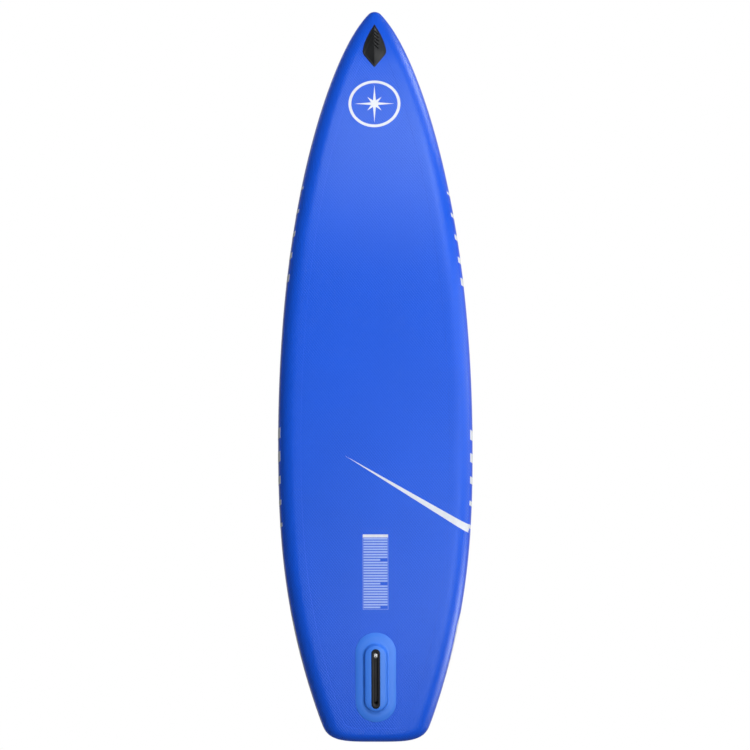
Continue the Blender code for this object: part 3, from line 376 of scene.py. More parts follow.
def circle(radius, z, count=48, centre=(0.0, 0.0)):
    """A level ring of points."""
    angles = [2 * math.pi * k / count for k in range(count)]
    return [Vector((centre[0] + radius * math.cos(a), centre[1] + radius * math.sin(a), z)) for a in angles]


def capsule(straight, radius, z, arc=24, runs=24):
    """A level ring of two half circles joined by straight sides along X."""
    points = []
    for end in (1, -1):
        for k in range(arc + 1):
            a = math.pi * (k / arc - 0.5)
            points.append(Vector((end * (straight + radius * math.cos(a)), end * radius * math.sin(a), z)))
        for k in range(1, runs):
            points.append(Vector((end * straight * (1 - 2 * k / runs), end * radius, z)))
    return points


def turned(profile, closed=False, count=48):
    """A shape of revolution about Z, from (radius, z) pairs."""
    return stack([circle(r, z, count) for r, z in profile], closed)


def sweep(path, sections, closed=False, up=Vector((0, 0, 1))):
    """A solid drawn along a path. Each section is a list of (sideways, upwards) offsets."""
    rings, cloth, run = [], [], 0.0
    for k, spot in enumerate(path):
        before = path[k - 1] if closed or k else path[0]
        after = path[(k + 1) % len(path)] if closed or k + 1 < len(path) else path[-1]
        along = (after - before).normalized()
        side = along.cross(up).normalized()
        lift = side.cross(along)
        rings.append([spot + side * a + lift * b for a, b in sections[k]])
        run += (spot - path[k - 1]).length if k else 0.0
        cloth += [(run, a) for a, b in sections[k]]
    return stack(rings, closed, cloth)


def round_section(radius, count=12):
    """Section of a round wire."""
    angles = [2 * math.pi * (k + 0.5) / count for k in range(count)]
    return [(radius * math.cos(a), radius * math.sin(a)) for a in angles]


def strap_section(width, thick, crown=0.0):
    """Section of webbing with rounded edges, and a middle that stands up by crown."""
    w, t, ease = width / 2, thick / 2, min(width, thick) * 0.35
    half = [(w, 0.0), (w - 0.3 * ease, 0.7 * t), (w - ease, t), (w * 0.5, t + 0.75 * crown), (0.0, t + crown)]
    top = half + [(-a, b) for a, b in half[-2::-1]]
    return top + [(a, b - thick + 2 * min(0.0, t - b)) for a, b in top[-2:0:-1]]


def smooth_path(points, steps):
    """Points of a smooth curve through the given ones, rows of any width."""
    rows = np.array([list(p) for p in points], float)
    padded = np.concatenate([2 * rows[:1] - rows[1:2], rows, 2 * rows[-1:] - rows[-2:-1]])
    made = []
    for a, b, c, d in zip(padded, padded[1:], padded[2:], padded[3:]):
        for t in np.arange(steps) / steps:
            made.append(0.5 * (2 * b + (c - a) * t + (2 * a - 5 * b + 4 * c - d) * t**2
                               + (3 * b - a - 3 * c + d) * t**3))
    return np.array(made + [rows[-1]])


def stitches(spots, heading, length=0.0026, radius=0.00045):
    """Short thread stitches lying on z = 0 at the given places."""
    made = None
    turn = Matrix.Rotation(heading, 4, "Z")
    for x, y, z in spots:
        shares = (-0.5, -0.3, 0, 0.3, 0.5)
        path = [Vector((length * s, 0, radius * (1.1 - 2.4 * abs(s) ** 2))) for s in shares]
        sections = [round_section(radius * w, 6) for w in (0.45, 0.9, 1, 0.9, 0.45)]
        one = sweep(path, sections).at(Matrix.Translation((x, y, z)) @ turn)
        made = made + one if made else one
    return made


# --- Materials ---
class Finish:
    """A procedural material, built up from shader nodes."""

    def __init__(self, name):
        self.made = bpy.data.materials.new(name)
        self.made.use_nodes = True
        self.tree = self.made.node_tree
        self.shader = self.tree.nodes["Principled BSDF"]
        self.spot = self.node("TexCoord").outputs["Object"]

    def node(self, kind, inputs=(), **settings):
        """A shader node, with its inputs given as values or as other nodes' outputs."""
        made = self.tree.nodes.new("ShaderNode" + kind)
        for key, value in settings.items():
            setattr(made, key, value)
        for key, value in dict(inputs).items():
            if isinstance(value, bpy.types.NodeSocket):
                self.tree.links.new(value, made.inputs[key])
            else:
                made.inputs[key].default_value = value
        return made

    def calc(self, operation, a, b=0.0):
        """One step of arithmetic on two values or outputs."""
        return self.node("Math", {0: a, 1: b}, operation=operation).outputs[0]

    def use_cloth(self):
        """Takes places from the piece's own length and width instead of the row frame."""
        self.spot = self.node("Attribute", attribute_name="cloth").outputs["Vector"]

    def noise(self, scale, detail=3.0, rough=0.55):
        """Even noise around 0.5."""
        inputs = {"Vector": self.spot, "Scale": scale, "Detail": detail, "Roughness": rough}
        return self.node("TexNoise", inputs).outputs["Fac"]

    def ridges(self, turns, sharp):
        """Parallel rounded ridges, one for each whole turn."""
        wave = self.calc("ABSOLUTE", self.calc("SINE", self.calc("MULTIPLY", turns, math.pi)))
        return self.calc("POWER", wave, sharp)

    def steps(self, pitch_x, pitch_y):
        """Places along and across the cloth, counted in pitches."""
        parts = self.node("SeparateXYZ", {0: self.spot})
        return [self.calc("DIVIDE", parts.outputs[axis], p) for axis, p in (("X", pitch_x), ("Y", pitch_y))]

    def wave(self, pitch_x, pitch_y, sharp=1.0):
        """Raised squares between two sets of lines, pitch metres apart along each axis."""
        return self.calc("MULTIPLY", *(self.ridges(count, sharp) for count in self.steps(pitch_x, pitch_y)))

    def diamonds(self, length, width, sharp=1.0):
        """Raised diamonds between two sets of slanting lines."""
        along, across = self.steps(length, width)
        slants = (self.calc(way, along, across) for way in ("ADD", "SUBTRACT"))
        return self.calc("MULTIPLY", *(self.ridges(count, sharp) for count in slants))

    def colours(self, factor, low, high, start=0.3, end=0.7):
        """Base colour between two, driven by a factor."""
        ramp = self.node("ValToRGB", {"Fac": factor})
        ramp.color_ramp.elements[0].position, ramp.color_ramp.elements[1].position = start, end
        ramp.color_ramp.elements[0].color, ramp.color_ramp.elements[1].color = (*low, 1), (*high, 1)
        self.tree.links.new(ramp.outputs[0], self.shader.inputs["Base Color"])

    def rough(self, factor, low, high):
        """Roughness between two values."""
        span = self.node("MapRange", {"Value": factor, "To Min": low, "To Max": high})
        self.tree.links.new(span.outputs[0], self.shader.inputs["Roughness"])

    def bump(self, *layers):
        """Surface relief: pairs of (height output, depth in metres)."""
        normal = None
        for height, depth in layers:
            inputs = {"Height": height, "Distance": depth, "Strength": 1.0}
            if normal:
                inputs["Normal"] = normal
            normal = self.node("Bump", inputs).outputs[0]
        self.tree.links.new(normal, self.shader.inputs["Normal"])

    def set(self, **values):
        """Plain shader inputs, by name with _ for a space."""
        for key, value in values.items():
            self.shader.inputs[key.replace("_", " ")].default_value = value
        return self.made


def tint(colour, share):
    """The same colour, lighter or darker by a share."""
    return tuple(min(1.0, c * (1 + share)) for c in colour)


def coated_fabric(name, colour, diamond=None, roughness=0.31):
    """PVC-coated fabric: a soft sheen, a faint weave and an embossed diamond where it has one, with painted
    shade in its grooves.
    """
    look = Finish(name)
    cloud, fine = look.noise(2.2, 4), look.noise(160, 2)
    relief = [(fine, 0.00005), (look.wave(0.0016, 0.0016), 0.00002)]
    if diamond:
        raised = look.diamonds(*diamond, 0.8)
        # The colour follows the raised diamonds too: the grooves between them are painted darker as painted
        # shade, mixed with random tone from the noise.
        cloud = look.calc("ADD", look.calc("MULTIPLY", cloud, 0.5), look.calc("MULTIPLY", raised, 0.5))
        relief.append((raised, 0.0006))
    look.colours(cloud, tint(colour, -0.10), tint(colour, 0.10), 0.15, 0.75)
    look.rough(fine, roughness - 0.03, roughness + 0.04)
    look.bump(*relief)
    return look.set(Specular_IOR_Level=0.38, Specular_Tint=(0.82, 1.0, 0.94, 1.0))


def ink(name, colour):
    """Screen-printed ink, very slightly mottled."""
    look = Finish(name)
    cloud = look.noise(60, 5)
    look.colours(cloud, tint(colour, -0.06), tint(colour, 0.02))
    look.rough(cloud, 0.40, 0.55)
    look.bump((look.noise(420, 2), 0.00004))
    return look.made


def moulded(name, colour, roughness, grain=0.00010, shine=0.25):
    """Moulded rubber or plastic with a fine spark-eroded grain."""
    look = Finish(name)
    cloud, fine = look.noise(14, 4), look.noise(900, 2)
    look.colours(cloud, tint(colour, -0.18), tint(colour, 0.18))
    look.rough(fine, roughness - 0.07, roughness + 0.08)
    look.bump((fine, grain))
    return look.set(Specular_IOR_Level=shine)


def foam(name, colour):
    """Closed-cell foam with a pressed diamond texture and small cells."""
    look = Finish(name)
    cells, cloud = look.noise(700, 3), look.noise(9, 5)
    look.colours(cloud, tint(colour, -0.12), tint(colour, 0.14))
    look.rough(cells, 0.78, 0.95)
    look.bump((cells, 0.00025), (look.diamonds(0.0085, 0.0085, 0.6), 0.0008))
    return look.set(Sheen_Weight=0.15)


def woven(name, colour, pitch_along, pitch_across, depth=0.0004):
    """Webbing or braid: ribs along and picks across, with crowns painted lighter and gaps painted darker as
    painted highlight and shade.
    """
    look = Finish(name)
    look.use_cloth()
    ribs, fuzz = look.wave(pitch_along, pitch_across, 0.7), look.noise(1500, 3)
    # Painted shade in the gaps between the ribs and painted highlight on their crowns.
    look.colours(ribs, tint(colour, -0.45), tint(colour, 0.35), 0.05, 0.9)
    look.rough(fuzz, 0.70, 0.92)
    look.bump((ribs, depth), (fuzz, 0.00012))
    return look.set(Sheen_Weight=0.25)


def neoprene(name, colour):
    """Foam rubber faced with a fine knitted jersey."""
    look = Finish(name)
    look.use_cloth()
    knit, fuzz = look.wave(0.0011, 0.0013, 0.8), look.noise(40, 4)
    look.colours(fuzz, tint(colour, -0.2), tint(colour, 0.25))
    look.rough(fuzz, 0.82, 0.96)
    look.bump((knit, 0.00020), (fuzz, 0.0006))
    return look.set(Sheen_Weight=0.35)


def metal(name, colour, roughness):
    """Bare metal with fine drawing lines and a little colour drift."""
    look = Finish(name)
    streak, cloud = look.noise(520, 2), look.noise(30, 4)
    look.colours(cloud, tint(colour, -0.10), tint(colour, 0.05))
    look.rough(streak, roughness - 0.06, roughness + 0.10)
    look.bump((streak, 0.00003))
    return look.set(Metallic=1.0)


def make_finishes():
    """Every finish by the record's slot name, and the two inks and the thread, which have none."""
    blue, white, embossed = (0.004, 0.076, 0.600), (0.62, 0.65, 0.70), (0.0144, 0.0110)
    table = {
        "hull_pvc": (coated_fabric, blue, embossed),
        "deck_pvc": (coated_fabric, (0.74, 0.76, 0.78), embossed),
        "rail_pvc": (coated_fabric, (0.003, 0.066, 0.61)),
        "seam_pvc": (coated_fabric, blue, embossed),
        "anchor_pvc": (coated_fabric, tint(blue, -0.10)),
        "fin_patch_pvc": (coated_fabric, (0.036, 0.168, 0.68), None, 0.38),
        "drop_stitch": (woven, (0.80, 0.79, 0.72), 0.002, 0.002),
        "black_rubber": (moulded, (0.010, 0.011, 0.012), 0.48),
        "black_plastic": (moulded, (0.006, 0.006, 0.009), 0.24, 0.00005, 0.14),
        "valve_plastic": (moulded, (0.045, 0.047, 0.052), 0.38, 0.00006),
        "stainless": (metal, (0.55, 0.56, 0.58), 0.22),
        "eva_foam": (foam, (0.085, 0.105, 0.135)),
        "webbing": (woven, (0.020, 0.020, 0.023), 0.0024, 0.0016),
        "neoprene": (neoprene, (0.022, 0.022, 0.025)),
        "bungee_cover": (woven, (0.030, 0.031, 0.035), 0.0030, 0.0013),
        "white_ink": (ink, white),
        "pale_ink": (ink, (0.28, 0.39, 0.76)),
        "thread": (woven, (0.55, 0.56, 0.60), 0.0009, 0.0009, 0.0001),
    }
    return {name: maker(name, *values) for name, (maker, *values) in table.items()}


FINISHES = make_finishes()


# --- Pieces ---
def new_object(name, data):
    """An object linked into the scene."""
    made = bpy.data.objects.new(name, data)
    bpy.context.scene.collection.objects.link(made)
    return made


def add_piece(name, shape, slots, body, *nodes, sharp=38.0):
    """Makes one visible piece in the row frame, on a body, standing for CAD nodes."""
    slots = (slots,) if isinstance(slots, str) else slots
    mesh = bpy.data.meshes.new(name)
    mesh.from_pydata([tuple(v) for v in shape.verts], [], shape.faces)
    for slot in slots:
        mesh.materials.append(FINISHES[slot])
    mesh.polygons.foreach_set("material_index", shape.finish)
    places = mesh.attributes.new("cloth", "FLOAT_VECTOR", "POINT")
    places.data.foreach_set("vector", np.array([(a, b, 0.0) for a, b in shape.cloth], np.float32).ravel())
    bm = bmesh.new()
    bm.from_mesh(mesh)
    bmesh.ops.remove_doubles(bm, verts=bm.verts, dist=2e-6)
    bmesh.ops.dissolve_degenerate(bm, dist=1e-6, edges=bm.edges)
    bmesh.ops.recalc_face_normals(bm, faces=bm.faces)
    bm.to_mesh(mesh)
    bm.free()
    mesh.shade_smooth()
    mesh.set_sharp_from_angle(angle=math.radians(sharp))
    made = new_object(name, mesh)
    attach(made, body)
    if nodes:
        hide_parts(*nodes)
    return made


def cut_away(piece, shape):
    """Takes a shape out of a piece."""
    mesh = bpy.data.meshes.new("cutter")
    mesh.from_pydata([tuple(v) for v in shape.verts], [], shape.faces)
    cutter = new_object("cutter", mesh)
    bm = bmesh.new()
    bm.from_mesh(mesh)
    bmesh.ops.recalc_face_normals(bm, faces=bm.faces)
    bm.to_mesh(mesh)
    bm.free()
    cut = piece.modifiers.new("cut", "BOOLEAN")
    cut.operation = "DIFFERENCE"
    cut.object = cutter
    bpy.context.view_layer.update()
    result = bpy.data.meshes.new_from_object(piece.evaluated_get(bpy.context.evaluated_depsgraph_get()))
    piece.modifiers.remove(cut)
    piece.data = result
    bpy.data.objects.remove(cutter)


# --- Inflated shell ---
def panel_sheet(side):
    """The flat skin of the hull or the deck."""
    rows = inset_points(0.0004)
    rows = rows[rows[:, 1] > 0.0008]
    across = np.linspace(-1, 1, 25)
    outer, inner = (panel_points(rows[:, :1], rows[:, 1:] * across, side, d) for d in (0.0, -SKIN))
    return slab(outer, inner)


def seam_tape(side, hand):
    """A tape that laps from the flat panel onto the side wall."""
    angles = np.linspace(-90, LOWER_EDGE, 11) if side == HULL else np.linspace(90, UPPER_EDGE, 9)

    def layer(offset, trim):
        """One face of the tape, trimmed where it laps onto the panel."""
        lap = inset_points(TAPE_OVERLAP - trim)
        rows = (lap, (lap + PANEL) / 2)
        flat = [panel_points(p[:, :1], hand * np.maximum(p[:, 1:], 0.0), side, offset) for p in rows]
        return np.concatenate([*flat, rail_grid(angles, offset, hand)], 1)

    return slab(layer(SEAM_TOP, 0.0004), layer(LAYER_BASE, 0.0))


def rail_band(hand):
    """The broad outer band round one rail, with bevelled edges."""
    angles = np.linspace(LOWER_EDGE, UPPER_EDGE, 21)
    outer = rail_grid(angles + 0.9 * np.linspace(1, -1, 21) ** 9, RAIL_TOP, hand)
    return slab(outer, rail_grid(angles, LAYER_BASE, hand))


def add_shell():
    """Panels, side walls and tapes."""
    add_piece("hull_skin", panel_sheet(HULL), "hull_pvc", "board", "hull_panel")
    deck = add_piece("deck_skin", panel_sheet(DECK), "deck_pvc", "board", "deck_panel")
    hole = turned([(VALVE_COLLAR + 0.0006, -0.02), (VALVE_COLLAR + 0.0006, 0.02)])
    cut_away(deck, hole.at(seat(VALVE_X, VALVE_Y, DECK)))
    for label, hand in HANDS:
        wall = slab(*(rail_grid(np.linspace(-90, 90, 31), d, hand) for d in (0.0, -SKIN)))
        add_piece(f"{label}_side_skin", wall, "rail_pvc", "board", f"side_wall_{label}")
        add_piece(f"{label}_hull_seam", seam_tape(HULL, hand), "seam_pvc", "board", f"hull_seam_tape_{label}")
        add_piece(f"{label}_deck_seam", seam_tape(DECK, hand), "deck_pvc", "board", f"deck_seam_tape_{label}")
        add_piece(f"{label}_rail_band", rail_band(hand), "rail_pvc", "board", f"rail_tape_{label}")


# --- Prints ---
def film(x, y):
    """A thin printed sheet on the hull, from grids of plan places."""
    return slab(*(hull_points(x, y, lift) for lift in (PRINT_FILM, PRINT_BASE)))


def rail_film(x, angles, hand):
    """A thin printed sheet on one rail's band."""
    return slab(*(rail_at(x, angles, RAIL_TOP + lift, hand) for lift in (PRINT_FILM, PRINT_BASE)))


def stripe_print():
    """The long white wedge that runs out to the port rail."""
    along = np.linspace(0.002, 1, 90)[:, None]
    tip, fore, aft = (np.array(corner) for corner in (STRIPE_TIP, STRIPE_FORE, STRIPE_AFT))
    across = np.linspace(0, 1, 6)[:, None]
    grid = tip + along[:, None] * ((fore - tip) * (1 - across) + (aft - tip) * across)
    return film(grid[..., 0], grid[..., 1])


def polar_print(inner, outer, steps=5):
    """A printed band between two closed outlines given as plan points."""
    share = np.linspace(0, 1, steps)[:, None]
    grid = inner[:, None] * (1 - share) + outer[:, None] * share
    top, base = (hull_points(grid[..., 0], grid[..., 1], lift) for lift in (PRINT_FILM, PRINT_BASE))
    rings = np.concatenate([top, base[:, ::-1]], 1)
    return stack([[Vector(p) for p in ring] for ring in rings], closed=True)


def ring_outline(inset, count=144):
    """The emblem's slightly oval edge, inset metres inside its outline."""
    a = np.linspace(0, 2 * np.pi, count, endpoint=False)
    along, across = (radius - inset for radius in EMBLEM_RADII)
    return np.stack([EMBLEM_X + along * np.cos(a), across * np.sin(a)], -1)


def star_outline(long, short, waist, side=6):
    """An eight-pointed compass star: four long and four short points."""
    radii = [long, waist, short, waist] * 4
    turns = np.arange(16) * np.pi / 8
    corners = np.stack([EMBLEM_X + radii * np.cos(turns), radii * np.sin(turns)], -1)
    after = np.roll(corners, -1, 0)
    t = (np.arange(side) / side)[:, None]
    return np.concatenate([a * (1 - t) + b * t for a, b in zip(corners, after)])


def rail_bar(x, length, hand):
    """A slanted bar that wraps over the rail's edge."""
    angles = np.linspace(LOWER_EDGE + BAR_CLEAR, BAR_TOP, 15)[None]
    along = np.linspace(length / 2, -length / 2, 6)[:, None]
    drift = BAR_SLANT * (angles - LOWER_EDGE) / -LOWER_EDGE
    return rail_film(x + along - drift + BAR_SLANT / 2, np.broadcast_to(angles, (6, 15)), hand)


def tail_band(hand):
    """The white flash on the rail beside the tail, widest near its front."""
    u = np.linspace(0, 1, 50)[:, None]
    start, climb, top = -31, 19, 48
    hook, hook_share, hook_power = 66, 0.22, 1.6
    low = start + climb * u + hook * np.clip(1 - u / hook_share, 0, 1) ** hook_power
    x = TAIL_BAND[0] + (TAIL_BAND[1] - TAIL_BAND[0]) * u
    angles = low + (top - low) * np.linspace(0, 1, 14)[None]
    return rail_film(np.broadcast_to(x, angles.shape), angles, hand)


def panel_print():
    """A blank ruled panel: a thin frame, a white head and pale rows, with nothing written in them."""
    def sheet(x0, x1, y0, y1):
        """A printed rectangle."""
        x, y = np.meshgrid(np.linspace(x0, x1, 4), np.linspace(y0, y1, 8), indexing="ij")
        return film(x, y)

    line, head = 0.0014, 0.0125
    row_share, shortened, shortening = 0.62, 9, 0.030
    front, rear, half = PANEL_FRONT_X, PANEL_REAR_X, PANEL_HALF
    made = sheet(rear + line, rear, -half, half)
    for y in (-half, half - line):
        x, grid_y = np.meshgrid(np.linspace(front - head, rear + line, 30), [y, y + line], indexing="ij")
        made = made + film(x, grid_y)
    pitch = (front - head - rear - 2.5 * line) / PANEL_ROWS
    for k in range(PANEL_ROWS):
        top = front - head - 1.5 * line - k * pitch
        short = shortening if (k + 1) % shortened == 0 else 0.0
        made = made + sheet(top, top - pitch * row_share, 2.2 * line - half, half - 2.2 * line - short)
    header = sheet(front, front - head, -half, half)
    header.finish = [1] * len(header.faces)
    return made + header


def add_prints():
    """The white and pale prints on the hull and rails."""
    emblem = polar_print(ring_outline(EMBLEM_STROKE), ring_outline(0.0))
    star = star_outline(*STAR_RADII)
    hub, hub_share = np.repeat([[EMBLEM_X, 0.0]], len(star), 0), 0.001
    emblem = emblem + polar_print(hub + (star - hub) * hub_share, star)
    add_piece("emblem_print", emblem, "white_ink", "board")
    add_piece("stripe_print", stripe_print(), "white_ink", "board")
    add_piece("ruled_panel_print", panel_print(), ("pale_ink", "white_ink"), "board")
    for label, hand in HANDS:
        bars = tail_band(hand)
        for x, length in RAIL_BARS[label]:
            bars = bars + rail_bar(x, length, hand)
        add_piece(f"{label}_rail_print", bars, "white_ink", "board")


# --- Nose guard ---
def guard_half_width(x, rear, front):
    """Half-width of the leaf outline: curved front flanks, nearly straight rear ones and an eased corner."""
    ahead = np.clip((x - GUARD_WIDE_X) / (front - GUARD_WIDE_X), 0, 1)
    behind = np.clip((GUARD_WIDE_X - x) / (GUARD_WIDE_X - rear), 0, 1)
    half = GUARD_HALF * np.where(x > GUARD_WIDE_X, 1 - ahead**1.55, 1 - behind**1.08)
    return half - 0.0018 * np.exp(-(((x - GUARD_WIDE_X) / 0.006) ** 2))


def guard_notches(x, y):
    """Depth of the five slanting finger notches beside the ridge."""
    first_x, pitch, reach = 1.4600, 0.0185, 0.0140
    slant, half_width, deepest = 0.80, 0.0038, 0.0075
    depth = np.zeros_like(x + y)
    for k in range(5):
        run = np.clip(y, 0, reach)
        off = np.abs(x - (first_x - pitch * k - slant * run)) + np.abs(y - run)
        depth += deepest * np.clip(1.4 - off / half_width, 0, 1)
    return depth


def add_nose_guard():
    """The moulded keel-shaped bumper under the nose: a leaf with a flat rim and a sharp ridge."""
    rear, front = GUARD_REAR_X, GUARD_FRONT_X
    x = np.linspace(rear + 0.0004, front - 0.0004, 190)[:, None]
    half = guard_half_width(x, rear, front)
    across = np.linspace(-1, 1, 81)[None]
    y = half * across
    rim_width, edge_width, edge_drop = 0.0075, 0.0016, 0.0009
    rim = np.clip((half - np.abs(y)) / rim_width, 0, 1)
    along = (x - rear) / (front - rear)
    crest = (GUARD_RIDGE - GUARD_EDGE) * np.sin(np.pi * along) ** 0.7
    inner = np.clip((half - rim_width - np.abs(y)) / np.maximum(0.004, half - rim_width), 0, 1)
    height = GUARD_EDGE * (0.75 + 0.25 * rim) + crest * inner**1.15 - guard_notches(x, y) * (inner > 0.02)
    base = GUARD_BASE - SEAM_TOP
    round_edge = edge_drop * (1 - np.clip((half - np.abs(y)) / edge_width, 0, 1)) ** 2
    x = np.broadcast_to(x, y.shape)
    shape = slab(hull_points(x, y, base + height - round_edge), hull_points(x, y, PRINT_BASE))
    add_piece("nose_bumper", shape, "black_rubber", "board", "nose_guard", sharp=32)


# --- Fin box ---
def add_fin_patch():
    """The moulded patch: a thin flange and a steep-sided boss round the box."""
    inner = BOX_RADIUS + 0.0006
    rings = [(BOX_STRAIGHT, inner, 0.0002), (PATCH_STRAIGHT, PATCH_RADIUS, 0.0002)]
    edge = ((0.0002, 0.0012), (0.0012, 0.0018))
    rings += [(PATCH_STRAIGHT, PATCH_RADIUS - drop, height) for drop, height in edge]
    rings += [(PATCH_STRAIGHT - 0.002, BOSS_RADIUS + 0.006, 0.0020)]
    room = BOSS_RADIUS - inner
    for step in (*np.linspace(0, BOSS_WALL, 11), *np.linspace(BOSS_WALL, room, 6)[1:]):
        wall, top = min(1.0, step / BOSS_WALL), max(0.0, step - BOSS_WALL) / (room - BOSS_WALL)
        height = 0.0022 + 0.0176 * wall**2 * (3 - 2 * wall) + 0.0030 * math.sin(math.pi / 2 * top)
        rings.append((BOSS_STRAIGHT + (BOX_STRAIGHT - BOSS_STRAIGHT) * top, BOSS_RADIUS - step, height))
    placed = []
    for straight, radius, height in rings:
        ring = np.array(capsule(straight, radius, height))
        placed.append(list(panel_points(FIN_X + ring[:, 0], ring[:, 1], HULL, ring[:, 2])))
    add_piece("fin_pad", stack(placed, closed=True), "fin_patch_pvc", "board", "fin_patch", sharp=50)


def add_fin_box():
    """The hard box, with an undercut channel for the fin and its nut."""
    place = seat(FIN_X, 0.0, HULL, gap=MOULD_GAP)
    shift = Vector((CHANNEL_SHIFT, 0, 0))
    top = BOX_HEIGHT
    channel = [(0.0030, BOX_FLOOR), (GROOVE_RADIUS - 0.0006, BOX_FLOOR), (GROOVE_RADIUS, BOX_FLOOR + 0.0006)]
    channel += [(GROOVE_RADIUS, 0.0151), (GROOVE_RADIUS - 0.0004, 0.0155), (MOUTH_RADIUS, 0.0155)]
    channel += [(MOUTH_RADIUS, top - 0.0030), (MOUTH_RADIUS + 0.0006, top - 0.0014)]
    channel += [(MOUTH_RADIUS + 0.0018, top - 0.0003), (MOUTH_RADIUS + 0.0026, top)]
    rings = [[p + shift for p in capsule(CHANNEL_STRAIGHT, r, z)] for r, z in channel]
    edge = ((0.0034, 0), (0.0018, 0.0002), (0.0006, 0.0009), (0.0001, 0.0022), (0, top))
    rings += [capsule(BOX_STRAIGHT, BOX_RADIUS - drop, top - depth) for drop, depth in edge]
    add_piece("fin_box_body", stack(rings).at(place), "black_plastic", "board", "fin_box")


def square_ring(half_x, half_y, corner, z, count=48):
    """A level ring on a rectangle with rounded corners."""
    ring = []
    for k in range(count):
        a = 2 * math.pi * (k + 0.5) / count
        px, py = math.cos(a), math.sin(a)
        power = 2 * half_y / max(corner, 1e-4)
        size = (abs(px) ** power + abs(py) ** power) ** (-1 / power)
        ring.append(Vector((half_x * px * size, half_y * py * size, z)))
    return ring


def add_fin_hardware():
    """The square nut and its screw, which slide in the channel."""
    place = seat(FIN_X, 0.0, HULL, gap=MOULD_GAP) @ Matrix.Translation((NUT_SHIFT, 0, 0))
    floor, thick = NUT_FLOOR, NUT_THICK
    plate = [circle(0.0025, floor), square_ring(0.0112, 0.0074, 0.0022, floor)]
    plate += [square_ring(0.0119, 0.0079, 0.0022, floor + rise) for rise in (0.0005, thick - 0.0005)]
    plate += [square_ring(0.0112, 0.0074, 0.0022, floor + thick)]
    plate += [circle(0.0029, floor + thick), circle(0.0025, floor + thick - 0.0004)]
    add_piece("fin_nut", stack(plate, closed=True).at(place), "stainless", "fin_plate", "fin_plate")
    head = floor + thick + 0.0012
    profile = [(0.0012, floor - 0.0030), (0.0019, floor - 0.0024), (0.0020, floor), (0.0020, head)]
    profile += [(0.0046, head), (0.0048, head + 0.0003), (0.0048, head + 0.0013), (0.0043, head + 0.0022)]
    profile += [(0.0032, head + 0.0028), (0.0016, head + 0.0030)]
    screw = add_piece("fin_bolt", turned(profile).at(place), "stainless", "fin_screw", "fin_screw")
    slot_corners = ((-0.0026, -0.0005), (0.0026, -0.0005), (0.0026, 0.0005), (-0.0026, 0.0005))
    for heading in (45, 135):
        slot = [[Vector((x, y, z)) for x, y in slot_corners] for z in (head + 0.0014, head + 0.0060)]
        cut_away(screw, stack(slot).at(place @ Matrix.Rotation(math.radians(heading), 4, "Z")))


# --- Deck pads ---
PAD_RIM = np.array([0, 0.0005, 0.0012, 0.003])
GROOVE_WIDTH, GROOVE_EASE = 0.0022, 0.0009


def groove_lines(half, pitch):
    """Places across a grooved pad and each one's drop (0 or 1)."""
    places, drops = [-half], [0.0]
    count = int(2 * half / pitch)
    for k in range(count):
        middle = (k - (count - 1) / 2) * pitch
        low, high = middle - GROOVE_WIDTH / 2, middle + GROOVE_WIDTH / 2
        places += [low - GROOVE_EASE, low, high, high + GROOVE_EASE]
        drops += [0.0, 1.0, 1.0, 0.0]
    return np.array(places + [half]), np.array(drops + [0.0])


def pad_share(x):
    """How much of its full width the pad keeps at length x: all of it, and less round the front."""
    share = np.clip((x - PAD_FRONT_X + PAD_CORNER) / PAD_CORNER, 0, 1)
    return 0.45 + 0.55 * np.sqrt(1 - share**2)


def pad_sheet(x, y, rise):
    """A foam pad from grids of plan places and heights above the deck."""
    return slab(panel_points(x, y, DECK, rise), panel_points(x, y, DECK, 0.0002 + 0 * rise))


def edge_round(gap, size=0.003):
    """Height lost beside a pad's edge, gap metres away."""
    return size * (1 - np.sqrt(1 - (1 - np.clip(gap / size, 0, 1)) ** 2))


def add_deck_pad():
    """The grooved traction pad, with an open well round the carry handle."""
    top = BOND_GAP + PAD_THICK
    ends = 0.003 * np.array([0, 0.15, 0.4, 1])
    front = PAD_FRONT_X - PAD_CORNER * np.linspace(0, 1, 26)[1:] ** 2
    x = np.concatenate([PAD_FRONT_X - ends, front[front < PAD_FRONT_X - 0.004],
                        np.linspace(PAD_FRONT_X - PAD_CORNER, PAD_REAR_X + 0.01, 90)[1:],
                        PAD_REAR_X + ends[::-1]])
    places, drops = groove_lines(PAD_HALF - 0.012, 0.0200)
    rim = PAD_HALF - PAD_RIM
    places = np.concatenate([-rim, places, rim[::-1]])
    drops = np.concatenate([0 * rim, drops, 0 * rim])
    ends_drop = np.clip(np.minimum(PAD_FRONT_X - x, x - PAD_REAR_X) / 0.012 - 1, 0, 1)[:, None]
    y = places[None] * pad_share(x)[:, None]
    x = np.broadcast_to(x[:, None], y.shape)
    gap = np.minimum(PAD_HALF - np.abs(places)[None], np.minimum(PAD_FRONT_X - x, x - PAD_REAR_X))
    rise = top - edge_round(gap) - 0.0024 * drops[None] * ends_drop
    pad = add_piece("traction_pad", pad_sheet(x, y, rise), "eva_foam", "board", "deck_pad", sharp=50)
    well = stack([capsule(WELL_HALF_LENGTH - WELL_HALF_WIDTH, WELL_HALF_WIDTH, z) for z in (-0.02, 0.03)])
    cut_away(pad, well.at(seat(WELL_X, 0.0, DECK)))


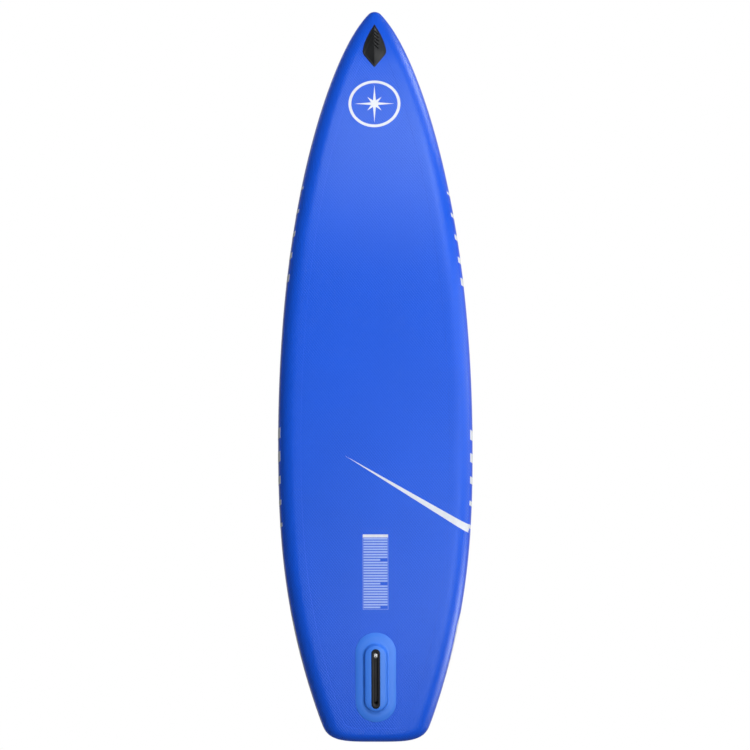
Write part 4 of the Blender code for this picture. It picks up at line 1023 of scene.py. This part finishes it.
def add_kick_pad():
    """The tail pad, with a raised bar and grooves across it for the back foot."""
    top, length = BOND_GAP + PAD_THICK, KICK_FRONT_X - KICK_REAR_X
    along, drops = groove_lines(length / 2 - 0.006, 0.0140)
    rim = length / 2 - PAD_RIM
    fine = np.linspace(-length / 2 + 0.006, length / 2 - 0.006, 90)
    places = np.concatenate([-rim, along, rim[::-1], fine])
    order = np.argsort(places)
    drops = np.concatenate([0 * rim, drops, 0 * rim, np.interp(fine, along, drops)])[order]
    places = places[order]
    x = ((KICK_FRONT_X + KICK_REAR_X) / 2 - places)[:, None]
    border = np.array([1, 0.998, 0.995, 0.987])
    across = np.concatenate([-border, np.linspace(-0.97, 0.97, 60), border[::-1]])
    share = (KICK_FRONT_X - x) / length
    y = PAD_HALF * across[None] + 0 * x
    gap = np.minimum(PAD_HALF * (1 - np.abs(across))[None], (length / 2 - np.abs(places))[:, None])
    side = 1 - np.clip(1 - (1 - np.abs(across)[None]) * 9, 0, 1) ** 2
    crest, spread, end_ease = 0.72, 0.17, 0.02
    bar = KICK_HEIGHT * np.exp(-(((share - crest) / spread) ** 2)) * np.clip(gap / end_ease, 0, 1) * side
    inner = (np.abs(across) < 0.96)[None]
    rise = top - edge_round(gap) + bar - 0.0022 * drops[:, None] * inner
    x = np.broadcast_to(x, y.shape)
    add_piece("tail_pad", pad_sheet(x, y, rise), "eva_foam", "board", "kick_pad", sharp=50)


# --- Anchors, rings and handles ---
def anchor_shape():
    """A bonded round patch with a sewn webbing loop. The loop's tunnel runs along local Y."""
    r, t = ANCHOR_RADIUS, ANCHOR_THICK
    disc = turned([(0.002, 0.0), (r, 0.0), (r, t * 0.45), (r - 0.0007, t * 0.85), (r - 0.002, t), (0.002, t)])
    tail = 0.0205
    foot = t + LOOP_THICK / 2
    arch = []
    for k in range(17):
        a = math.radians(205 - 230 * k / 16)
        arch.append((LOOP_RADIUS * math.cos(a), BAR_HEIGHT + LOOP_RADIUS * math.sin(a)))
    run_in = [(-tail, foot), (-0.0150, foot), (-0.0100, foot)]
    run_in += [(-0.0070, foot + 0.0003), (-0.0048, foot + 0.0014)]
    line = run_in + arch + [(-x, z) for x, z in run_in[::-1]]
    path = [Vector((x, 0, z)) for x, z in line]
    loop = sweep(path, [strap_section(LOOP_WIDTH, LOOP_THICK)] * len(path))
    loop.finish = [1] * len(loop.faces)
    thread_z = t + LOOP_THICK
    rows = []
    for end in (-1, 1):
        rows += [(end * x, y, thread_z) for x in (0.0188, 0.0118) for y in np.linspace(-0.0086, 0.0086, 7)]
    sewn = stitches(rows, math.pi / 2)
    sewn.finish = [2] * len(sewn.faces)
    return disc + loop + sewn


def add_anchor(label, node, place):
    """One bonded anchor."""
    add_piece(label, anchor_shape().at(place), ("anchor_pvc", "webbing", "thread"), "board", node)


def add_ring(label, place):
    """A bent-wire D-ring whose straight bar lies in its anchor's loop."""
    corner = 0.006
    half = RING_HALF
    path = [Vector((0, y, 0)) for y in np.linspace(-half + corner, half - corner, 9)]
    for k in range(1, 7):
        a = math.radians(90 * k / 6)
        path.append(Vector((corner - corner * math.cos(a), half - corner + corner * math.sin(a), 0)))
    for k in range(1, 32):
        a = math.radians(90 - 180 * k / 32)
        path.append(Vector((RING_LEG + half * math.cos(a), half * math.sin(a), 0)))
    path.append(Vector((RING_LEG, -half, 0)))
    for k in range(0, 6):
        a = math.radians(90 * k / 6)
        path.append(Vector((corner - corner * math.sin(a), -half + corner - corner * math.cos(a), 0)))
    shape = sweep(path, [round_section(RING_WIRE, 14)] * len(path), closed=True)
    add_piece(f"{label}_dring", shape.at(place), "stainless", f"{label}_ring", f"{label}_ring")


def strap_shape(half, height, width):
    """A webbing handle: flat and arched, gathered to rolled ends that lie in the anchors' loops."""
    inner = half - LOOP_WIDTH / 2
    rolled = STRAP_ROLLED * STRAP_BAR
    outline = [
        (half + LOOP_WIDTH / 2 + 0.002, 0.0, rolled, rolled),
        (inner - 0.001, 0.0, rolled, rolled),
        (inner - 0.007, 0.10, 0.0075, STRAP_THICK),
        (inner - 0.013, 0.42, 0.38 * width, STRAP_THICK),
        (inner - 0.022, 0.80, 0.82 * width, STRAP_THICK),
        (inner * 0.55, 1.0, width, STRAP_THICK),
        (0.0, 1.0, width, STRAP_THICK),
    ]
    outline += [(-x, *rest) for x, *rest in outline[-2::-1]]
    rows = smooth_path(outline, 7)
    path = [Vector((x, 0, height * max(0.0, rise))) for x, rise, _, _ in rows]
    sections = [strap_section(w, max(t, 0.0028), 0.0006 * min(1, w / width)) for _, _, w, t in rows]
    return sweep(path, sections)


def strap_stitching(half, height, width):
    """Two rows of stitches along the flat middle of a handle."""
    reach = (half - LOOP_WIDTH / 2) * 0.55
    top = height + STRAP_THICK / 2 + 0.0002
    rows = [(x, y, top) for y in (-width * 0.36, width * 0.36) for x in np.arange(-reach, reach, 0.0045)]
    return stitches(rows, 0.0)


def add_grip(place):
    """The padded sleeve round the carry handle's middle, with bound ends and a sewn seam below."""
    count = 40
    outside = [(0.0545, 0.0102, 0.0062), (0.0548, 0.0122, 0.0080), (0.0540, 0.0136, 0.0094)]
    outside += [(0.0515, 0.0142, 0.0100), (0.0500, 0.0136, 0.0096)]
    outside += [(0.0485, 0.0148, 0.0106), (0.0420, 0.0164, 0.0118)]
    outside += [(x, 0.0172 + 0.0003 * math.cos(90 * x), 0.0122 + 0.0003 * math.cos(70 * x))
                for x in np.linspace(0.034, 0.0, 10)]
    bore = (0.0134, 0.0036)
    shape = [(-x, a, b) for x, a, b in outside] + outside[-2::-1]
    shape += [(0.0540, *bore), (-0.0540, *bore)]
    rings, cloth = [], []
    for x, a, b in shape:
        for k in range(count):
            turn = 2 * math.pi * k / count
            seam = 1 - 0.05 * math.exp(-((math.degrees(turn) - 270) / 7) ** 2)
            pucker = 1 + 0.010 * math.sin(x * 420 + 2.0 * math.sin(turn)) * (abs(x) < 0.048) * (a > bore[0])
            cloth.append((x, turn * 0.015))
            lift = CARRY_HEIGHT + b * math.sin(turn) * seam * pucker
            rings.append(Vector((x, a * math.cos(turn) * pucker, lift)))
    rings = [rings[k:k + count] for k in range(0, len(rings), count)]
    sleeve = stack(rings, closed=True, cloth=cloth)
    add_piece("grip_sleeve", sleeve.at(place), "neoprene", "carry_handle", "carry_grip")


def handle_frame(front, rear):
    """Frame on the line between two anchors' tunnels, with X along it."""
    a, b = (anchor @ Vector((0, 0, BAR_HEIGHT)) for anchor in (front, rear))
    along = (a - b).normalized()
    out = front.to_3x3().col[2] + rear.to_3x3().col[2]
    across = out.cross(along).normalized()
    made = Matrix((along, across, along.cross(across))).transposed().to_4x4()
    made.translation = (a + b) / 2
    return made


def add_handles():
    """Carry, nose and tail handles with their anchors."""
    for label, (spots, heading, half, height, width) in HANDLES.items():
        frames = [seat(x, y, DECK, heading) for x, y in spots]
        for end, place in zip(("a", "b"), frames):
            add_anchor(f"{label}_base_{end}", f"{label}_anchor_{end}", place)
        grip_frame = handle_frame(*frames)
        strap = strap_shape(half, height, width)
        slots = ("webbing",)
        if label != "carry":
            sewn = strap_stitching(half, height, width)
            sewn.finish = [1] * len(sewn.faces)
            strap, slots = strap + sewn, ("webbing", "thread")
        add_piece(f"{label}_webbing", strap.at(grip_frame), slots, f"{label}_handle", f"{label}_strap")
        if label == "carry":
            add_grip(grip_frame)


def add_rings():
    """Seat, leash and tow rings with their anchors."""
    for label, (x, y, heading) in RING_PLACES.items():
        place = seat(x, y, DECK, heading)
        add_anchor(f"{label}_base", f"{label}_anchor", place)
        add_ring(label, place @ Matrix.Translation((0, 0, BAR_HEIGHT)))


def add_bungee():
    """The crossed deck cord, laced through four anchors."""
    (fx, fy), (rx, ry) = BUNGEE_FRONT, BUNGEE_REAR
    corners = [(fx, fy), (fx, -fy), (rx, ry), (rx, -ry)]
    names = ("front_port", "front_starboard", "rear_port", "rear_starboard")
    mouth = LOOP_WIDTH / 2 + 0.006
    cross_x = fx - (fx - rx) * fy / (fy + ry)
    points = []
    for k, (x, y) in enumerate(corners):
        before, after = Vector(corners[k - 1]), Vector(corners[(k + 1) % 4])
        here = Vector((x, y))
        along = ((after - here).normalized() - (before - here).normalized()).normalized()
        place = seat(x, y, DECK, math.degrees(math.atan2(along.y, along.x)) - 90)
        add_anchor(f"bungee_{names[k]}_base", f"bungee_anchor_{names[k]}", place)
        points += [place @ Vector((0, end * mouth, BAR_HEIGHT)) for end in (-1, 1)]
        if k in (1, 3):
            lift = BUNGEE_LIFT + (BUNGEE_CROSS_LIFT if k == 1 else 0.0)
            points.append(Vector(panel_points(cross_x, 0.0, DECK, BOND_GAP + lift)))
    path = rounded_loop(points, 0.006)
    shape = sweep(path, [round_section(BUNGEE_RADIUS, 12)] * len(path), closed=True)
    add_piece("deck_bungee", shape, "bungee_cover", "board", "bungee_cord")


def rounded_loop(points, radius, steps=6, stride=0.006):
    """A closed path with eased corners and short even steps between them."""
    path = []
    for k, corner in enumerate(points):
        after = points[(k + 1) % len(points)]
        back = (points[k - 1] - corner).normalized()
        ahead = (after - corner).normalized()
        for s in range(steps + 1):
            u = s / steps
            path.append(corner + back * radius * (1 - u) ** 2 + ahead * radius * u**2)
        start, end = path[-1], after - ahead * radius
        count = int((end - start).length / stride)
        path += [start.lerp(end, i / count) for i in range(1, count)]
    return path


# --- Valve ---
def add_valve():
    """The inflation valve's body, cap, seal and tether. Its stem and button stay CAD."""
    place = seat(VALVE_X, VALVE_Y, DECK)
    bore, collar, flange = VALVE_BORE, VALVE_COLLAR, VALVE_FLANGE
    body = [(bore, 0.0028), (bore + 0.0004, 0.0033), (bore + 0.0012, 0.0034), (flange - 0.0036, 0.0034)]
    body += [(flange - 0.0016, 0.0031), (flange - 0.0004, 0.0023), (flange, 0.0014), (flange, 0.0008)]
    body += [(collar, 0.0008), (collar, -0.0358), (collar - 0.0003, -0.0360), (bore, -0.0360)]
    body += [(bore, -0.0220), (0.0095, -0.0220), (0.0095, -0.0200), (bore, -0.0200)]
    add_piece("valve_housing", turned(body, closed=True).at(place), "valve_plastic", "board", "valve_body")
    cap = [(0.0058, 0.0016), (0.0104, 0.0016), (0.0107, 0.0019), (0.0112, 0.0050), (0.0176, 0.0050)]
    cap += [(0.0180, 0.0054), (0.0180, 0.0074), (0.0175, 0.0084), (0.0166, 0.0091), (0.0152, 0.0094)]
    cap += [(0.0134, 0.0094), (0.0128, 0.0090), (0.0030, 0.0090)]
    shape = turned(cap, count=72)
    for vert in shape.verts:
        radius = math.hypot(vert.x, vert.y)
        if radius > 0.0174 and vert.z < 0.0085:
            knurl = 1 - 0.022 * (0.5 + 0.5 * math.cos(24 * math.atan2(vert.y, vert.x)))
            vert.x, vert.y = vert.x * knurl, vert.y * knurl
    bar = [[Vector((x * grow, y * grow, z)) for x, y in finger_outline()]
           for grow, z in ((1.06, 0.0088), (1.0, 0.0092), (0.97, 0.0120), (0.93, 0.0129), (0.84, 0.0134))]
    add_piece("valve_lid", (shape + stack(bar)).at(place), "valve_plastic", "valve_cap", "valve_cap")
    seal = [(0.0115, 0.0038), (0.0149, 0.0038), (0.0150, 0.0042), (0.0149, 0.0047), (0.0115, 0.0047)]
    add_piece("lid_seal", turned(seal, closed=True).at(place), "black_rubber", "valve_cap", "valve_cap_seal")
    add_tether(place @ Matrix.Translation((VALVE_LUG_X, 0, VALVE_LUG_Z)))


def finger_outline(half=0.0118, wide=0.0026, count=10):
    """Outline of the bar that fingers turn, slimmer in its middle."""
    points = []
    for end in (1, -1):
        for k in range(count + 1):
            a = math.pi * (k / count - 0.5)
            points.append((end * (half - wide + wide * math.cos(a)), end * wide * math.sin(a)))
        points.append((0.0, end * wide * 0.72))
    return points


def add_tether(lug):
    """The rubber leash: a ring round the cap and a strap to the hinge beside the flange."""
    inner, outer, count, hinge_half = 0.0184, 0.0214, 72, 0.0055
    centre = (-VALVE_LUG_X, 0.0)
    rings = []
    for radius, z in ((inner, -0.0010), (outer, -0.0010), (outer, 0.0010), (inner, 0.0010)):
        ring = circle(radius, z, count, centre)
        if radius == outer:
            for k in range(-5, 6):
                reach = math.cos(math.pi * k / 11) ** 0.5 if abs(k) > 3 else 1.0
                at_x = -0.0015 if abs(k) <= 3 else ring[count // 2 + k].x * (1 - reach * 0.55)
                at_y = -k * hinge_half / 3 if abs(k) <= 3 else -math.copysign(hinge_half, k)
                ring[count // 2 + k] = Vector((at_x, at_y, z))
        rings.append(ring)
    add_piece("lid_leash", stack(rings, closed=True).at(lug), "black_rubber", "valve_tether", "valve_tether")


# --- Hidden parts ---
def finish_hidden_parts():
    """Finishes for the CAD parts that stay, inside the board and the valve.

    Those of the valve also get softened edges, but for its spring.
    """
    slots = {row["node"]: row["material_slot"] for row in frame["record"]["subparts"]}
    for node, made in frame["nodes"].items():
        if made.hide_render:
            continue
        made.data.materials.clear()
        made.data.materials.append(FINISHES[slots[node]])
        if node.startswith("valve_") and node != "valve_spring":
            ease = made.modifiers.new("ease", "BEVEL")
            ease.width = 0.0002
            ease.segments = 2
            ease.limit_method = "ANGLE"


# --- Stage ---
def add_floor(height, size=12.0):
    """A plain pale floor, seen from above only, so that the hull can be looked at from below."""
    corners = [(x, y, height) for x, y in ((-size, -size), (size, -size), (size, size), (-size, size))]
    mesh = bpy.data.meshes.new("floor")
    mesh.from_pydata(corners, [], [(0, 1, 2, 3)])
    floor = new_object("floor", mesh)
    look = Finish("floor")
    look.colours(look.noise(0.4, 2), (0.83, 0.83, 0.84), (0.87, 0.87, 0.87))
    look.set(Roughness=0.8)
    away = look.node("VectorMath", {0: look.spot}, operation="LENGTH").outputs["Value"]
    fade = {"Value": away, "From Min": FLOOR_FADE[0], "From Max": FLOOR_FADE[1], "To Min": FLOOR_GLOW}
    glow = look.node("Emission", {"Color": (1, 1, 1, 1), "Strength": 1.0}).outputs[0]
    share = look.node("MapRange", fade, interpolation_type="SMOOTHSTEP").outputs[0]
    near = look.node("MixShader", {0: share, 1: look.shader.outputs[0], 2: glow}).outputs[0]
    path = look.node("LightPath").outputs["Is Camera Ray"]
    below = look.node("NewGeometry").outputs["Backfacing"]
    seen = look.calc("MULTIPLY", path, look.calc("SUBTRACT", 1.0, below))
    clear = look.node("BsdfTransparent").outputs[0]
    mix = look.node("MixShader", {0: seen, 1: clear, 2: near})
    look.tree.links.new(mix.outputs[0], look.tree.nodes["Material Output"].inputs["Surface"])
    mesh.materials.append(look.made)


def add_world(glow):
    """A white backdrop that lights the board softly."""
    world = bpy.data.worlds.new("studio")
    bpy.context.scene.world = world
    world.use_nodes = True
    tree = world.node_tree
    path = tree.nodes.new("ShaderNodeLightPath")
    strength = tree.nodes.new("ShaderNodeMapRange")
    strength.inputs["To Min"].default_value = glow
    strength.inputs["To Max"].default_value = 1.0
    tree.links.new(path.outputs["Is Camera Ray"], strength.inputs["Value"])
    tree.links.new(strength.outputs[0], tree.nodes["Background"].inputs["Strength"])
    tree.nodes["Background"].inputs["Color"].default_value = (1, 1, 1, 1)


def add_light(camera, name, place, power, size, sheen, fill):
    """A soft box that keeps its place beside the camera: metres right of it, above it and behind it."""
    light = bpy.data.lights.new(name, "AREA")
    light.shape = "RECTANGLE"
    light.energy, light.size, light.size_y = power, size[0], size[1]
    made = new_object(name, light)
    made.parent = camera
    made.location = place
    made.rotation_mode = "QUATERNION"
    made.rotation_quaternion = (Vector((0, 0, -VIEW_DISTANCE)) - Vector(place)).to_track_quat("-Z", "Y")
    made.visible_camera = False
    made.visible_glossy, made.visible_diffuse = sheen, fill


def add_camera():
    """A view from well below, almost square onto the hull, nose up."""
    tilt, roll = math.radians(CAMERA_TILT), math.radians(CAMERA_ROLL)
    ahead = Vector((0, math.sin(tilt), math.cos(tilt)))
    up = Vector((1, 0, 0))
    right = ahead.cross(up)
    turned_right = right * math.cos(roll) + up * math.sin(roll)
    turned_up = up * math.cos(roll) - right * math.sin(roll)
    data = bpy.data.cameras.new("camera")
    data.lens, data.sensor_width = CAMERA_LENS, 36.0
    data.clip_end = 60.0
    camera = new_object("camera", data)
    place = Matrix((turned_right, turned_up, -ahead)).transposed().to_4x4()
    place.translation = Vector(CAMERA_TARGET) - ahead * VIEW_DISTANCE
    camera.matrix_world = place
    bpy.context.scene.camera = camera
    return camera


def main():
    """Builds the board and its studio."""
    add_shell()
    add_prints()
    add_nose_guard()
    add_fin_patch()
    add_fin_box()
    add_fin_hardware()
    add_deck_pad()
    add_kick_pad()
    add_handles()
    add_rings()
    add_bungee()
    add_valve()
    finish_hidden_parts()
    add_floor(cad_box[0].z - FLOOR_DROP)
    add_world(WORLD_GLOW)
    camera = add_camera()
    for light in LIGHTS:
        add_light(camera, *light)
    bpy.context.scene.view_settings.view_transform = "Standard"


main()
